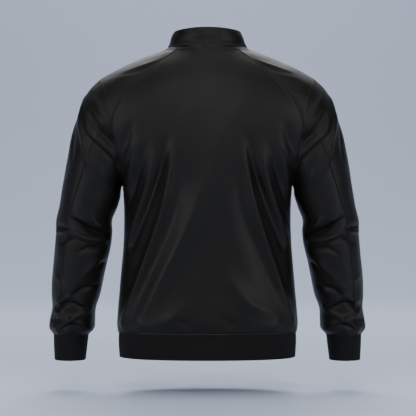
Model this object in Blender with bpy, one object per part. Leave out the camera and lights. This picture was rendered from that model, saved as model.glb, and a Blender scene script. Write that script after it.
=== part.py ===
"""Zipped track jacket, held in its worn shape with nobody in it.

X runs across the body, with the wearer's left at +X; -Y is the zipped front, +Y the back, and +Z up.
The origin is the middle of the neck opening, level with the shoulder points beside it.
Every cloth piece is a wall laid on one shared middle surface, so that the seams meet all round."""

import math

import bmesh
import bpy
import numpy as np
from mathutils import Vector

# Wall thicknesses, seams and how finely the cloth is cut into flat facets
KNIT_WALL = 0.0016
RIB_WALL = 0.0026
COLLAR_WALL = 0.0026
SEAM_HALF_GAP = 0.00017
UNDERARM_HALF_GAP = 0.0010
UNDERARM_REACH = 0.05
RAGLAN_ROWS = 7
ARMHOLE_UPPER = 6
ARMHOLE_LOWER = 5
BACK_COLUMNS = 18
FRONT_COLUMNS = 8
COLLAR_ROWS = 2
HEM_ROWS = 1
CUFF_ROWS = 1

# Neck: three rings; side, back and front are heights
NECK_SEAM = dict(half_width=0.0955, middle_y=-0.003, half_depth=0.075, side=0.0, back=-0.003, front=-0.048)
COLLAR_FOOT = dict(half_width=0.0855, middle_y=-0.003, half_depth=0.0705, side=0.0072, back=0.0055,
                   front=-0.0405)
COLLAR_TOP = dict(half_width=0.0715, middle_y=0.002, half_depth=0.062, side=0.0415, back=0.0465,
                  front=0.0080)
FRONT_DROP_POWER = 1.4
RAGLAN_BACK_TURN = math.radians(136.1)
RAGLAN_FRONT_TURN = math.radians(50.0)

# Armhole: the shoulder point, the underarm point, and how far the ring bows backward and forward
SHOULDER_POINT = (0.2340, 0.0, -0.0630)
UNDERARM_POINT = (0.1850, 0.0, -0.2935)
ARMHOLE_BACK_BOW = (-0.0050, 0.0880, 0.0110)
ARMHOLE_FRONT_BOW = (-0.0100, -0.0860, 0.0070)

# Raglan seams: the two inner control points of each cubic curve from neck to armhole
RAGLAN_BACK_PULLS = ((0.1150, 0.0730, -0.0360), (0.2050, 0.0930, -0.1100))
RAGLAN_FRONT_PULLS = ((0.1180, -0.0720, -0.0560), (0.1960, -0.0910, -0.1180))
SHOULDER_ROUND = 0.0020
ROUND_BACKWARD = 0.6
ROUND_UPWARD = 0.8

# Body: half width at the side seam by height
SIDE_SEAM = (
    # z, half_width
    (-0.2935, 0.1850),
    (-0.330, 0.1822),
    (-0.380, 0.1815),
    (-0.430, 0.1835),
    (-0.480, 0.1878),
    (-0.530, 0.1920),
    (-0.575, 0.1958),
    (-0.600, 0.1972),
    (-0.615, 0.1945),
)
# Body: depth of the back and front at the middle, by height
MIDDLE_DEPTH = (
    # z, back_y, front_y
    (-0.003, 0.0720, -0.0600),
    (-0.048, 0.0960, -0.0780),
    (-0.080, 0.1060, -0.0950),
    (-0.120, 0.1140, -0.1100),
    (-0.170, 0.1200, -0.1220),
    (-0.230, 0.1230, -0.1300),
    (-0.310, 0.1200, -0.1310),
    (-0.390, 0.1140, -0.1270),
    (-0.460, 0.1115, -0.1245),
    (-0.530, 0.1140, -0.1250),
    (-0.590, 0.1180, -0.1265),
    (-0.615, 0.1150, -0.1215),
)
BODY_SQUARENESS = 0.35
EVEN_POWER = 6
HEM_BOTTOM_Z = -0.6690
HEM_DRAW_IN = 0.0030

# Sleeve: outer and inner edge, half depth, how far forward, and how far the back seam turns outward
SLEEVE_RINGS = (
    # outer_x, outer_z, inner_x, inner_z, half_depth, forward, seam_turn
    (0.2340, -0.0630, 0.1850, -0.2935, 0.0870, 0.0000, 0.0),
    (0.2575, -0.0860, 0.1887, -0.2962, 0.0868, 0.0000, 3.0),
    (0.2765, -0.1200, 0.1896, -0.2993, 0.0850, 0.0005, 7.0),
    (0.2910, -0.1600, 0.1902, -0.3028, 0.0825, 0.0010, 11.0),
    (0.3005, -0.2000, 0.1907, -0.3065, 0.0800, 0.0020, 14.0),
    (0.3085, -0.2440, 0.1912, -0.3112, 0.0775, 0.0030, 18.0),
    (0.3165, -0.2900, 0.1920, -0.3180, 0.0750, 0.0045, 23.0),
    (0.3245, -0.3380, 0.1985, -0.3400, 0.0725, 0.0065, 28.0),
    (0.3320, -0.3720, 0.2105, -0.3700, 0.0690, 0.0085, 31.0),
    (0.3320, -0.3960, 0.2100, -0.3960, 0.0665, 0.0100, 33.0),
    (0.3350, -0.4240, 0.2125, -0.4240, 0.0665, 0.0120, 33.0),
    (0.3390, -0.4620, 0.2215, -0.4620, 0.0650, 0.0160, 33.0),
    (0.3425, -0.5000, 0.2300, -0.5000, 0.0630, 0.0210, 33.0),
    (0.3440, -0.5360, 0.2385, -0.5360, 0.0595, 0.0270, 33.0),
    (0.3430, -0.5640, 0.2480, -0.5640, 0.0545, 0.0320, 33.0),
    (0.3480, -0.5900, 0.2500, -0.5900, 0.0545, 0.0360, 33.0),
    (0.3500, -0.6100, 0.2520, -0.6100, 0.0515, 0.0385, 33.0),
    (0.3405, -0.6240, 0.2650, -0.6240, 0.0400, 0.0400, 33.0),
)
# Cuff: the rib tube below the sleeve
CUFF_RINGS = (
    # outer_x, inner_x, z, half_depth, forward
    (0.3405, 0.2650, -0.6240, 0.0400, 0.0400),
    (0.3400, 0.2685, -0.6520, 0.0375, 0.0425),
    (0.3385, 0.2725, -0.6815, 0.0350, 0.0450),
)
# Where the middles of the hollows lie, for telling outward from inward
SLEEVE_AXIS = (0.2750, -0.0200)
PLAIN_SLEEVE_TOP_Z = -0.3200
SHOULDER_HOLLOW_Z = -0.3000

# Largest folds: each runs between two points seen from behind, as a soft ridge (height > 0) or trough
FOLDS = (
    # side, face, x0, z0, x1, z1, half_width, height
    (1, 1, 0.128, -0.215, 0.152, -0.500, 0.016, 0.0040),
    (1, 1, 0.085, -0.205, 0.120, -0.480, 0.017, 0.0055),
    (1, 1, 0.100, -0.190, 0.140, -0.400, 0.014, -0.0050),
    (1, 1, 0.000, -0.200, 0.050, -0.460, 0.022, 0.0040),
    (1, 1, 0.045, -0.210, 0.075, -0.420, 0.018, -0.0040),
    (1, 1, 0.218, -0.408, 0.302, -0.370, 0.011, -0.0090),
    (1, 1, 0.218, -0.425, 0.306, -0.392, 0.010, 0.0040),
    (1, 1, 0.255, -0.560, 0.338, -0.578, 0.010, -0.0050),
    (1, 1, 0.252, -0.600, 0.342, -0.590, 0.010, 0.0040),
    (1, 1, 0.205, -0.190, 0.262, -0.135, 0.012, 0.0050),
    (1, 1, 0.195, -0.215, 0.255, -0.165, 0.012, -0.0050),
    (1, -1, 0.215, -0.400, 0.320, -0.385, 0.013, -0.0070),
    (1, -1, 0.215, -0.425, 0.320, -0.410, 0.012, 0.0040),
    (1, -1, 0.252, -0.570, 0.340, -0.565, 0.010, -0.0050),
    (1, -1, 0.100, -0.200, 0.135, -0.470, 0.020, 0.0045),
    (1, -1, 0.140, -0.230, 0.165, -0.420, 0.016, -0.0045),
    (-1, 1, 0.135, -0.220, 0.165, -0.480, 0.016, 0.0040),
    (-1, 1, 0.095, -0.205, 0.140, -0.520, 0.018, 0.0055),
    (-1, 1, 0.112, -0.200, 0.150, -0.410, 0.014, -0.0050),
    (-1, 1, 0.060, -0.210, 0.105, -0.500, 0.018, -0.0045),
    (-1, 1, 0.218, -0.405, 0.302, -0.372, 0.011, -0.0085),
    (-1, 1, 0.218, -0.424, 0.306, -0.394, 0.010, 0.0040),
    (-1, 1, 0.255, -0.562, 0.338, -0.575, 0.010, -0.0050),
    (-1, 1, 0.252, -0.598, 0.342, -0.592, 0.010, 0.0040),
    (-1, 1, 0.205, -0.188, 0.262, -0.137, 0.012, 0.0050),
    (-1, 1, 0.195, -0.213, 0.255, -0.167, 0.012, -0.0050),
    (-1, -1, 0.215, -0.402, 0.320, -0.383, 0.013, -0.0070),
    (-1, -1, 0.215, -0.426, 0.320, -0.412, 0.012, 0.0040),
    (-1, -1, 0.252, -0.568, 0.340, -0.567, 0.010, -0.0050),
    (-1, -1, 0.095, -0.205, 0.130, -0.460, 0.020, 0.0045),
    (-1, -1, 0.138, -0.232, 0.162, -0.430, 0.016, -0.0045),
)

# Zip down the front: half widths across the chain, and layers behind the front panels
ZIP_HALF_OPENING = 0.0070
CHAIN_HALF_WIDTH = 0.0029
CHAIN_HALF_THICKNESS = 0.0012
CHAIN_SET_BACK = 0.0014
TAPE_INNER = 0.0032
TAPE_OUTER = 0.0125
TAPE_WALL = 0.0010
TAPE_SET_BACK = 0.0022
CHAIN_BELOW_COLLAR_TOP = 0.0060
BOX_LENGTH = 0.0090
BOX_HALF_WIDTH = 0.0052
BOX_HALF_THICKNESS = 0.0016
TAPE_BELOW_COLLAR_TOP = 0.0015
FIT_GAP = 0.0003

# Slider and pull, in the zip's own directions: across, out from the cloth, and up the zip
SLIDER_LENGTH = 0.0110
SLIDER_HALF_WIDTH = 0.0043
PLATE_THICKNESS = 0.0012
PLATE_END_HALF_WIDTH = 0.00344
PLATE_SHOULDER = 0.0008
BRIDGE_HEIGHT = 0.0020
BAIL_HALF_WIDTH = 0.0010
BAIL_HALF_LENGTH = 0.0040
BAIL_LEG = 0.0014
BAIL_HEIGHT = 0.0032
BAIL_HOLE = 0.0020
BAIL_MIDDLE = -0.0050
BAR_RADIUS = 0.0006
EYE_INNER_HALF_WIDTH = 0.0016
EYE_REACH = 0.0056
PULL_HALF_WIDTH = 0.0031
PULL_LENGTH = 0.0280

CLOTH_COLOUR = (0.022, 0.022, 0.023, 1.0)
RIB_COLOUR = (0.014, 0.014, 0.015, 1.0)
TAPE_COLOUR = (0.016, 0.016, 0.017, 1.0)
METAL_COLOUR = (0.055, 0.055, 0.058, 1.0)


def table(rows, column):
    """One column of a table of rows, as an array."""
    return np.array([row[column] for row in rows], dtype=float)


def mirror(points):
    """The same points on the wearer's other side."""
    return points * np.array((-1.0, 1.0, 1.0))


def neck_ring(ring, turns):
    """Points of one neck ring at the given turns, from 0 at the front middle to pi at the back middle."""
    forward = np.maximum(np.cos(turns), 0.0)
    backward = np.maximum(-np.cos(turns), 0.0)
    x = ring["half_width"] * np.sin(turns)
    y = ring["middle_y"] - ring["half_depth"] * np.cos(turns)
    side = ring["side"]
    z = side + (ring["front"] - side) * forward**FRONT_DROP_POWER + (ring["back"] - side) * backward**2
    return np.stack((x, y, z), -1)


def neck_turns(ring):
    """The turns of one side of a neck ring, front middle to back middle, split where the panels meet."""
    start = math.asin(ZIP_HALF_OPENING / ring["half_width"])
    front = np.linspace(start, RAGLAN_FRONT_TURN, FRONT_COLUMNS + 1)
    side = np.linspace(RAGLAN_FRONT_TURN, RAGLAN_BACK_TURN, 2 * ARMHOLE_UPPER + 1)
    back = np.linspace(RAGLAN_BACK_TURN, math.pi, BACK_COLUMNS // 2 + 1)
    return np.concatenate((front, side[1:], back[1:]))


def whole_neck_ring(ring):
    """A neck ring from the left front edge round the back to the right front edge."""
    left = neck_ring(ring, neck_turns(ring))
    return np.concatenate((left, mirror(left)[-2::-1]))


def armhole(angles):
    """Points of the armhole: 0 at the shoulder point, +90 degrees at the back, 180 at the underarm."""
    top = np.array(SHOULDER_POINT)
    low = np.array(UNDERARM_POINT)
    middle = (top + low) / 2
    across = np.cos(angles)[:, None] * (top - middle)
    back = np.maximum(np.sin(angles), 0.0)[:, None] * np.array(ARMHOLE_BACK_BOW)
    front = np.maximum(-np.sin(angles), 0.0)[:, None] * np.array(ARMHOLE_FRONT_BOW)
    return middle + across + back + front


def armhole_angles():
    """Angles round the armhole, from the underarm up the back, over the shoulder and down the front."""
    back = np.linspace(math.pi, math.pi / 2, ARMHOLE_LOWER + 1)
    over = np.linspace(math.pi / 2, -math.pi / 2, 2 * ARMHOLE_UPPER + 1)
    front = np.linspace(-math.pi / 2, -math.pi, ARMHOLE_LOWER + 1)
    return np.concatenate((back, over[1:], front[1:]))


def raglan(turn, angle, pulls):
    """The cubic curve from the neck seam to the armhole."""
    t = np.linspace(0.0, 1.0, RAGLAN_ROWS + 1)[:, None]
    start = neck_ring(NECK_SEAM, np.array([turn]))
    end = armhole(np.array([angle]))
    first, second = (np.array(pull) for pull in pulls)
    return start * (1 - t) ** 3 + 3 * first * t * (1 - t) ** 2 + 3 * second * t * t * (1 - t) + end * t**3


def body_edge(turn, angle, pulls):
    """A body panel's edge from the neck: raglan seam, lower armhole, side seam to the hem."""
    seam = raglan(turn, angle, pulls)
    under = armhole(np.linspace(angle, math.copysign(math.pi, angle), ARMHOLE_LOWER + 1))
    z = table(SIDE_SEAM, 0)
    side = np.stack((table(SIDE_SEAM, 1), np.zeros_like(z), z), -1)
    return np.concatenate((seam, under[1:], side[1:]))


def body_half(turn, angle, pulls, columns, column, opening):
    """Half of a body panel as rows from its edge to its middle.

    Each row is part of a squared-off ellipse, |x/A|^n + |y/C|^n = 1, where C is the depth at the middle and
    A is such that the row starts at the seam. Away from the seam, A is evened out between the rows."""
    edge = body_edge(turn, angle, pulls)
    rows = len(edge)
    to_armhole = np.linspace(0.0, 1.0, RAGLAN_ROWS + 1)
    neck_z = NECK_SEAM["back"] if column == 1 else NECK_SEAM["front"]
    neck_turn = math.pi if column == 1 else math.asin(opening / NECK_SEAM["half_width"])
    drop = np.zeros(rows)
    drop[: RAGLAN_ROWS + 1] = (1 - to_armhole) ** 1.5 * (neck_z - edge[0, 2])
    middle_z = edge[:, 2] + drop
    middle_y = np.interp(middle_z, table(MIDDLE_DEPTH, 0)[::-1], table(MIDDLE_DEPTH, column)[::-1])
    middle_y[0] = neck_ring(NECK_SEAM, np.array([neck_turn]))[0, 1]
    below = np.clip((np.arange(rows) - RAGLAN_ROWS) / ARMHOLE_LOWER, 0.0, 1.0)
    power = 2.0 + BODY_SQUARENESS * below
    reach = edge[:, 0] / (1 - (edge[:, 1] / middle_y) ** power) ** (1 / power)
    even = reach.copy()
    even[1:-1] = (reach[:-2] + 2 * reach[1:-1] + reach[2:]) / 4
    arcs = np.arcsin(edge[:, 0] / reach)
    last = np.arcsin(opening / reach) / arcs
    share = np.linspace(0.0, 1.0, columns + 1)[None, :]
    k = 1.0 + (last[:, None] - 1.0) * share
    turned = np.sin(k * arcs[:, None])
    x = (even[:, None] + (reach - even)[:, None] * k**EVEN_POWER) * turned
    y = middle_y[:, None] * (1 - turned ** power[:, None]) ** (1 / power[:, None])
    z = middle_z[:, None] + (edge[:, 2] - middle_z)[:, None] * k**2
    half = np.stack((x, y, z), -1)
    half[0] = neck_ring(NECK_SEAM, np.linspace(turn, neck_turn, columns + 1))
    return half


def back_panel():
    """The back in one piece, left edge to right edge."""
    half = body_half(RAGLAN_BACK_TURN, math.pi / 2, RAGLAN_BACK_PULLS, BACK_COLUMNS // 2, 1, 0.0)
    return np.concatenate((half, mirror(half)[:, -2::-1]), axis=1)


def front_panel():
    """The left front, side seam to zip."""
    return body_half(RAGLAN_FRONT_TURN, -math.pi / 2, RAGLAN_FRONT_PULLS, FRONT_COLUMNS, 2, ZIP_HALF_OPENING)


def shoulder_panel():
    """The left shoulder saddle, rows from neck to armhole, columns from the back over to the front.

    It is a blend of the neck arc and the armhole arc, moved so that its sides follow the raglan seams."""
    turns = np.linspace(RAGLAN_BACK_TURN, RAGLAN_FRONT_TURN, 2 * ARMHOLE_UPPER + 1)
    angles = np.linspace(math.pi / 2, -math.pi / 2, 2 * ARMHOLE_UPPER + 1)
    inner = neck_ring(NECK_SEAM, turns)[None]
    outer = armhole(angles)[None]
    t = np.linspace(0.0, 1.0, RAGLAN_ROWS + 1)[:, None, None]
    across = np.linspace(0.0, 1.0, 2 * ARMHOLE_UPPER + 1)[None, :, None]
    blend = inner * (1 - t) + outer * t
    back = raglan(RAGLAN_BACK_TURN, math.pi / 2, RAGLAN_BACK_PULLS)[:, None] - blend[:, :1]
    front = raglan(RAGLAN_FRONT_TURN, -math.pi / 2, RAGLAN_FRONT_PULLS)[:, None] - blend[:, -1:]
    swell = np.sin(math.pi * t) * np.sin(2 * math.pi * across) ** 2 * SHOULDER_ROUND
    backward = np.sign(0.5 - across) * ROUND_BACKWARD
    outward = np.concatenate((0 * across, backward, 0 * across + ROUND_UPWARD), -1)
    return blend + back * (1 - across) ** 3 + front * across**3 + swell * outward


def sleeve_tube():
    """The left sleeve as rings from armhole to cuff, columns as armhole_angles gives them.

    Each ring is an ellipse between its outer and inner edge. Its columns turn outward with the back seam."""
    angles = armhole_angles()
    rings = [armhole(angles)]
    for outer_x, outer_z, inner_x, inner_z, *rest in SLEEVE_RINGS[1:]:
        rings.append(sleeve_ring(angles, (outer_x, outer_z), (inner_x, inner_z), *rest))
    return np.array(rings)


def sleeve_ring(angles, outer, inner, half_depth, forward, seam_turn):
    """One ellipse across the sleeve; its back seam sits seam_turn degrees outward of the back."""
    turn = math.radians(seam_turn)
    back = math.pi - (math.pi - angles) * (math.pi / 2 + turn) / (math.pi / 2)
    rest = -math.pi + (angles + math.pi) * (1.5 * math.pi - turn) / (1.5 * math.pi)
    turned = np.where(angles > math.pi / 2, back, rest)
    high = np.array((outer[0], -forward, outer[1]))
    low = np.array((inner[0], -forward, inner[1]))
    depth = np.array((0.0, half_depth, 0.0))
    return (high + low) / 2 + np.cos(turned)[:, None] * (high - low) / 2 + np.sin(turned)[:, None] * depth


def cuff_tube():
    """The left cuff, as rings that start where the sleeve ends."""
    angles = armhole_angles()
    z = table(CUFF_RINGS, 2)
    levels = np.linspace(z[0], z[-1], CUFF_ROWS + 1)
    values = [np.interp(levels, z[::-1], table(CUFF_RINGS, column)[::-1]) for column in (0, 1, 3, 4)]
    turn = SLEEVE_RINGS[-1][-1]
    return np.array([
        sleeve_ring(angles, (outer_x, level), (inner_x, level), half_depth, forward, turn)
        for level, outer_x, inner_x, half_depth, forward in zip(levels, *values)
    ])


def hem_band(back, front):
    """The rib band, from the lower edges of the fronts and back, drawn in a little at its own foot."""
    top = np.concatenate((front[-1, ::-1], back[-1, 1:], mirror(front[-1])[1:]))
    t = np.linspace(0.0, 1.0, HEM_ROWS + 1)[:, None]
    girth = np.linalg.norm(top[:, :2], axis=1)
    inward = 1.0 - t * HEM_DRAW_IN / girth
    x = top[:, 0] * inward
    x[:, [0, -1]] = top[[0, -1], 0]
    z = top[:, 2] + t * (HEM_BOTTOM_Z - SIDE_SEAM[-1][0])
    return np.stack((x, top[:, 1] * inward, z), -1)


def surfaces():
    """Every cloth piece's middle surface, as grids of points; tubes leave out their repeated last column."""
    back = back_panel()
    front = front_panel()
    shoulder = shoulder_panel()
    sleeve = sleeve_tube()
    cuff = cuff_tube()
    seam_column = ARMHOLE_LOWER
    t = np.linspace(0.0, 1.0, COLLAR_ROWS + 1)[:, None, None]
    foot = whole_neck_ring(COLLAR_FOOT)
    pieces = {
        "back": back,
        "front_left": front,
        "front_right": mirror(front),
        "neck_band": np.array([whole_neck_ring(NECK_SEAM), foot]),
        "collar": foot * (1 - t) + whole_neck_ring(COLLAR_TOP) * t,
        "hem_band": hem_band(back, front),
    }
    for name, flip in (("left", lambda points: points), ("right", mirror)):
        pieces["shoulder_" + name] = flip(shoulder)
        pieces["sleeve_under_" + name] = flip(sleeve[:, : seam_column + 1])
        pieces["sleeve_outer_" + name] = flip(sleeve[:, seam_column:])
        pieces["cuff_" + name] = flip(cuff[:, :-1])
    return pieces


def soft_folds(points, normals):
    """How far the folds move each point along its normal: a bell across the fold, fading to its ends."""
    moved = np.zeros(points.shape[:-1])
    for side, face, x0, z0, x1, z1, half_width, height in FOLDS:
        start = np.array((side * x0, z0))
        along = np.array((side * x1, z1)) - start
        flat = points[..., (0, 2)] - start
        share = np.clip((flat @ along) / (along @ along), 0.0, 1.0)
        away = np.linalg.norm(flat - share[..., None] * along, axis=-1)
        ends = np.clip(np.minimum(share, 1 - share) * 6 + 0.25, 0.0, 1.0)
        facing = np.clip(normals[..., 1] * face * 2.0, 0.0, 1.0)
        moved += height * np.exp(-((away / half_width) ** 2)) * ends * facing
    return moved


def quads(grid, closed):
    """Corner points of each quad of a grid, as four arrays."""
    along = np.roll(grid, -1, axis=1) if closed else grid[:, 1:]
    here = grid if closed else grid[:, :-1]
    return here[:-1], along[:-1], along[1:], here[1:]


def grid_normals(pieces, outward):
    """Unit normals at every grid point, shared by all the pieces that meet there."""
    total = {}
    for name, grid in pieces.items():
        corners = quads(grid, name.startswith("cuff"))
        face = np.cross(corners[2] - corners[0], corners[3] - corners[1]) * outward[name]
        face /= np.linalg.norm(face, axis=-1)[..., None]
        for corner in corners:
            keys = np.round(corner / 1e-6).astype(np.int64).reshape(-1, 3)
            for key, normal in zip(map(tuple, keys), face.reshape(-1, 3)):
                total[key] = total.get(key, 0.0) + normal
    normals = {}
    for name, grid in pieces.items():
        keys = np.round(grid / 1e-6).astype(np.int64).reshape(-1, 3)
        found = np.array([total[tuple(key)] for key in keys])
        found /= np.linalg.norm(found, axis=1)[:, None]
        normals[name] = found.reshape(grid.shape)
    return normals


def outward_signs(pieces):
    """+1 or -1 for each piece, so that its normals point away from its own hollow."""
    signs = {}
    for name, grid in pieces.items():
        corners = quads(grid, name.startswith("cuff"))
        face = np.cross(corners[2] - corners[0], corners[3] - corners[1])
        middle = (corners[0] + corners[2]) / 2
        hollow = np.zeros(3)
        if name.startswith(("sleeve", "cuff")):
            side = 1.0 if name.endswith("left") else -1.0
            away = middle - np.array((side * SLEEVE_AXIS[0], SLEEVE_AXIS[1], 0.0))
            away[..., 2] = 0.0
            facing = middle[..., 2] < PLAIN_SLEEVE_TOP_Z
            signs[name] = np.sign((face * away).sum(-1)[facing].sum())
            continue
        if name.startswith("shoulder"):
            hollow[2] = SHOULDER_HOLLOW_Z
        away = middle - hollow
        if not name.startswith("shoulder"):
            away[..., 2] = 0.0
        signs[name] = np.sign((face * away).sum(-1).sum())
    return signs


def drawn_in(grid, closed, gaps):
    """The grid with its border moved inward by half a seam gap; gaps holds first_row, last_row, sides."""
    first_row, last_row, sides = gaps
    moved = grid.copy()

    def step(edge, inside, gap):
        way = inside - edge
        return way / np.linalg.norm(way, axis=-1)[..., None] * np.asarray(gap)[..., None]

    moved[0] += step(grid[0], grid[1], first_row)
    moved[-1] += step(grid[-1], grid[-2], last_row)
    if not closed:
        moved[:, 0] += step(grid[:, 0], grid[:, 1], sides[0])
        moved[:, -1] += step(grid[:, -1], grid[:, -2], sides[1])
    return moved


def wall_mesh(name, grid, normals, wall, closed):
    """A closed wall on a grid: an outer and an inner skin with faces round the border."""
    rows, columns = grid.shape[:2]
    outer = (grid + normals * wall / 2).reshape(-1, 3)
    inner = (grid - normals * wall / 2).reshape(-1, 3)
    index = np.arange(rows * columns).reshape(rows, columns)
    here, right, far, below = (corner.reshape(-1) for corner in quads(index, closed))
    skin = np.stack((here, right, far, below), -1)
    faces = skin.tolist() + (skin[:, ::-1] + rows * columns).tolist()
    borders = [index[0], index[-1]] if closed else [
        np.concatenate((index[0], index[1:, -1], index[-1, -2::-1], index[-2:0:-1, 0]))
    ]
    for border in borders:
        after = np.roll(border, -1)
        faces += np.stack((border, after, after + rows * columns, border + rows * columns), -1).tolist()
    mesh = bpy.data.meshes.new(name)
    mesh.from_pydata(np.concatenate((outer, inner)).tolist(), [], faces)
    return tidy_mesh(mesh)


def tidy_mesh(mesh):
    """Points all faces of a closed mesh outward."""
    work = bmesh.new()
    work.from_mesh(mesh)
    bmesh.ops.recalc_face_normals(work, faces=work.faces)
    work.to_mesh(mesh)
    work.free()
    return mesh


def add_object(name, mesh, colour, roughness, metallic=0.0):
    """Links a mesh to the scene with a material of its own."""
    material = bpy.data.materials.new(name)
    material.use_nodes = True
    shader = material.node_tree.nodes["Principled BSDF"]
    shader.inputs["Base Color"].default_value = colour
    shader.inputs["Roughness"].default_value = roughness
    shader.inputs["Metallic"].default_value = metallic
    mesh.materials.append(material)
    made = bpy.data.objects.new(name, mesh)
    bpy.context.scene.collection.objects.link(made)
    return made


def border_gaps(name, grid):
    """Seam gaps along a piece's first row, last row and two sides; wider where the underarm folds shut."""
    side = np.sign(grid[..., :1].sum()) if name.endswith(("left", "right")) else np.sign(grid[..., :1])
    to_side = np.concatenate((side + 0 * grid[..., :1], 1 + 0 * grid[..., 1:]), -1)
    away = np.linalg.norm(grid - np.array(UNDERARM_POINT) * to_side, axis=-1)
    near = np.clip(1.0 - away / UNDERARM_REACH, 0.0, 1.0)
    gap = SEAM_HALF_GAP + (UNDERARM_HALF_GAP - SEAM_HALF_GAP) * near
    if name.startswith(("back", "front")):
        side_seam = RAGLAN_ROWS + ARMHOLE_LOWER + 1
        gap[side_seam:] = SEAM_HALF_GAP
        return gap[0], gap[-1], (gap[:, 0], gap[:, -1])
    if name.startswith("sleeve"):
        plain = np.full(len(grid), SEAM_HALF_GAP)
        return gap[0], gap[-1], (plain, plain)
    plain_row = np.full(grid.shape[1], SEAM_HALF_GAP)
    plain_side = np.full(len(grid), SEAM_HALF_GAP)
    return plain_row, plain_row, (plain_side, plain_side)


def build_cloth(folded, normals):
    """One walled object for each cloth piece."""
    for name, grid in folded.items():
        closed = name.startswith("cuff")
        rib = name.startswith(("cuff", "hem"))
        wall = COLLAR_WALL if name == "collar" else RIB_WALL if rib else KNIT_WALL
        colour = RIB_COLOUR if rib else CLOTH_COLOUR
        placed = drawn_in(grid, closed, border_gaps(name, grid))
        add_object(name, wall_mesh(name, placed, normals[name], wall, closed), colour, 0.6)


def stacked(pieces, column):
    """One column of points up the left front edge, from the hem's foot to the collar's top."""
    parts = (
        pieces["hem_band"][::-1, column],
        pieces["front_left"][::-1, -1 - column],
        pieces["neck_band"][:, column],
        pieces["collar"][:, column],
    )
    return np.concatenate([parts[0]] + [part[1:] for part in parts[1:]])


def zip_line(pieces):
    """The middle of the zip, from the hem's foot to the collar's top, with its outward directions."""
    line = stacked(pieces, 0)
    line[:, 0] = 0.0
    steps = np.gradient(line, axis=0)
    steps /= np.linalg.norm(steps, axis=1)[:, None]
    return line, np.stack((steps[:, 0], -steps[:, 2], steps[:, 1]), -1)


def shorten(rows, foot, top):
    """The stretch of a list of rows that starts foot above its first and ends top below its last.

    Distances run along the first three values of each row; the others are carried along."""
    length = np.concatenate(([0.0], np.cumsum(np.linalg.norm(np.diff(rows[:, :3], axis=0), axis=1))))
    inside = (length > foot + 1e-4) & (length < length[-1] - top - 1e-4)
    cuts = np.concatenate(([foot], length[inside], [length[-1] - top]))
    return np.stack([np.interp(cuts, length, rows[:, value]) for value in range(rows.shape[1])], -1)


def build_chain(line, out):
    """The box at the zip's foot and the closed chain above it; returns the chain's end, out and up."""
    length = np.linalg.norm(np.diff(line, axis=0), axis=1).sum()
    ends = (
        ("zip_box", 0.0, length - BOX_LENGTH, BOX_HALF_WIDTH, BOX_HALF_THICKNESS),
        ("zip_chain", BOX_LENGTH + FIT_GAP, CHAIN_BELOW_COLLAR_TOP, CHAIN_HALF_WIDTH, CHAIN_HALF_THICKNESS),
    )
    rows = np.concatenate((line, out), axis=1)
    for name, foot, top, half_width, half_thickness in ends:
        cut = shorten(rows, foot, top)
        ways = cut[:, 3:] / np.linalg.norm(cut[:, 3:], axis=1)[:, None]
        middle = cut[:, :3] - ways * CHAIN_SET_BACK
        half = np.array((half_width, 0.0, 0.0))
        grid = np.stack((middle + half, middle - half), 1)
        both = np.repeat(ways[:, None], 2, axis=1)
        add_object(name, wall_mesh(name, grid, both, 2 * half_thickness, False), METAL_COLOUR, 0.45)
    up = middle[-1] - middle[-2]
    up /= np.linalg.norm(up)
    return middle[-1], np.array((0.0, -up[2], up[1])), up


def build_tapes(pieces, normals):
    """Zip tapes behind the front edges, made from the edges' own two last columns of points."""
    edge = stacked(pieces, 0)
    beyond = stacked(pieces, 1)
    edge_normal = stacked(normals, 0)
    share = ((TAPE_OUTER - edge[:, 0]) / (beyond[:, 0] - edge[:, 0]))[:, None]
    inner = edge.copy()
    inner[:, 0] = TAPE_INNER
    flat_normal = edge_normal * (0.0, 1.0, 1.0)
    flat_normal /= np.linalg.norm(flat_normal, axis=1)[:, None]
    outer = edge + (beyond - edge) * share
    columns = [shorten(np.concatenate((points, way), axis=1), BOX_LENGTH + FIT_GAP, TAPE_BELOW_COLLAR_TOP)
               for points, way in ((inner, flat_normal), (edge, edge_normal), (outer, edge_normal))]
    grid = np.stack([column[:, :3] - column[:, 3:] * TAPE_SET_BACK for column in columns], 1)
    ways = np.stack([column[:, 3:] for column in columns], 1)
    for name, flip in (("zip_tape_left", lambda points: points), ("zip_tape_right", mirror)):
        add_object(name, wall_mesh(name, flip(grid), flip(ways), TAPE_WALL, False), TAPE_COLOUR, 0.7)


def prism(name, loop, depth, frame):
    """A closed prism: a loop of (across, out, up) points carried along depth, in the frame's directions."""
    end, out, up = frame
    basis = np.array(((1.0, 0.0, 0.0), out, up))
    first = np.array(loop) @ basis + end
    second = (np.array(loop) + np.array(depth)) @ basis + end
    count = len(loop)
    faces = [list(range(count)), list(range(2 * count - 1, count - 1, -1))]
    faces += [(here, here + count, (here + 1) % count + count, (here + 1) % count) for here in range(count)]
    mesh = bpy.data.meshes.new(name)
    mesh.from_pydata(np.concatenate((first, second)).tolist(), [], faces)
    return tidy_mesh(mesh)


def side_outline(points, half_width):
    """A loop of (out, up) points on the slider's right side."""
    return [(-half_width, out, up) for out, up in points]


def combine(target, mesh, operation):
    """Joins a mesh to an object, or cuts it away, with an exact Boolean."""
    tool = bpy.data.objects.new(mesh.name + "_tool", mesh)
    tool.location = target.location
    tool.hide_render = True
    tool.display_type = "WIRE"
    bpy.context.scene.collection.objects.link(tool)
    change = target.modifiers.new(mesh.name, "BOOLEAN")
    change.operation = operation
    change.object = tool
    change.solver = "EXACT"


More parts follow.
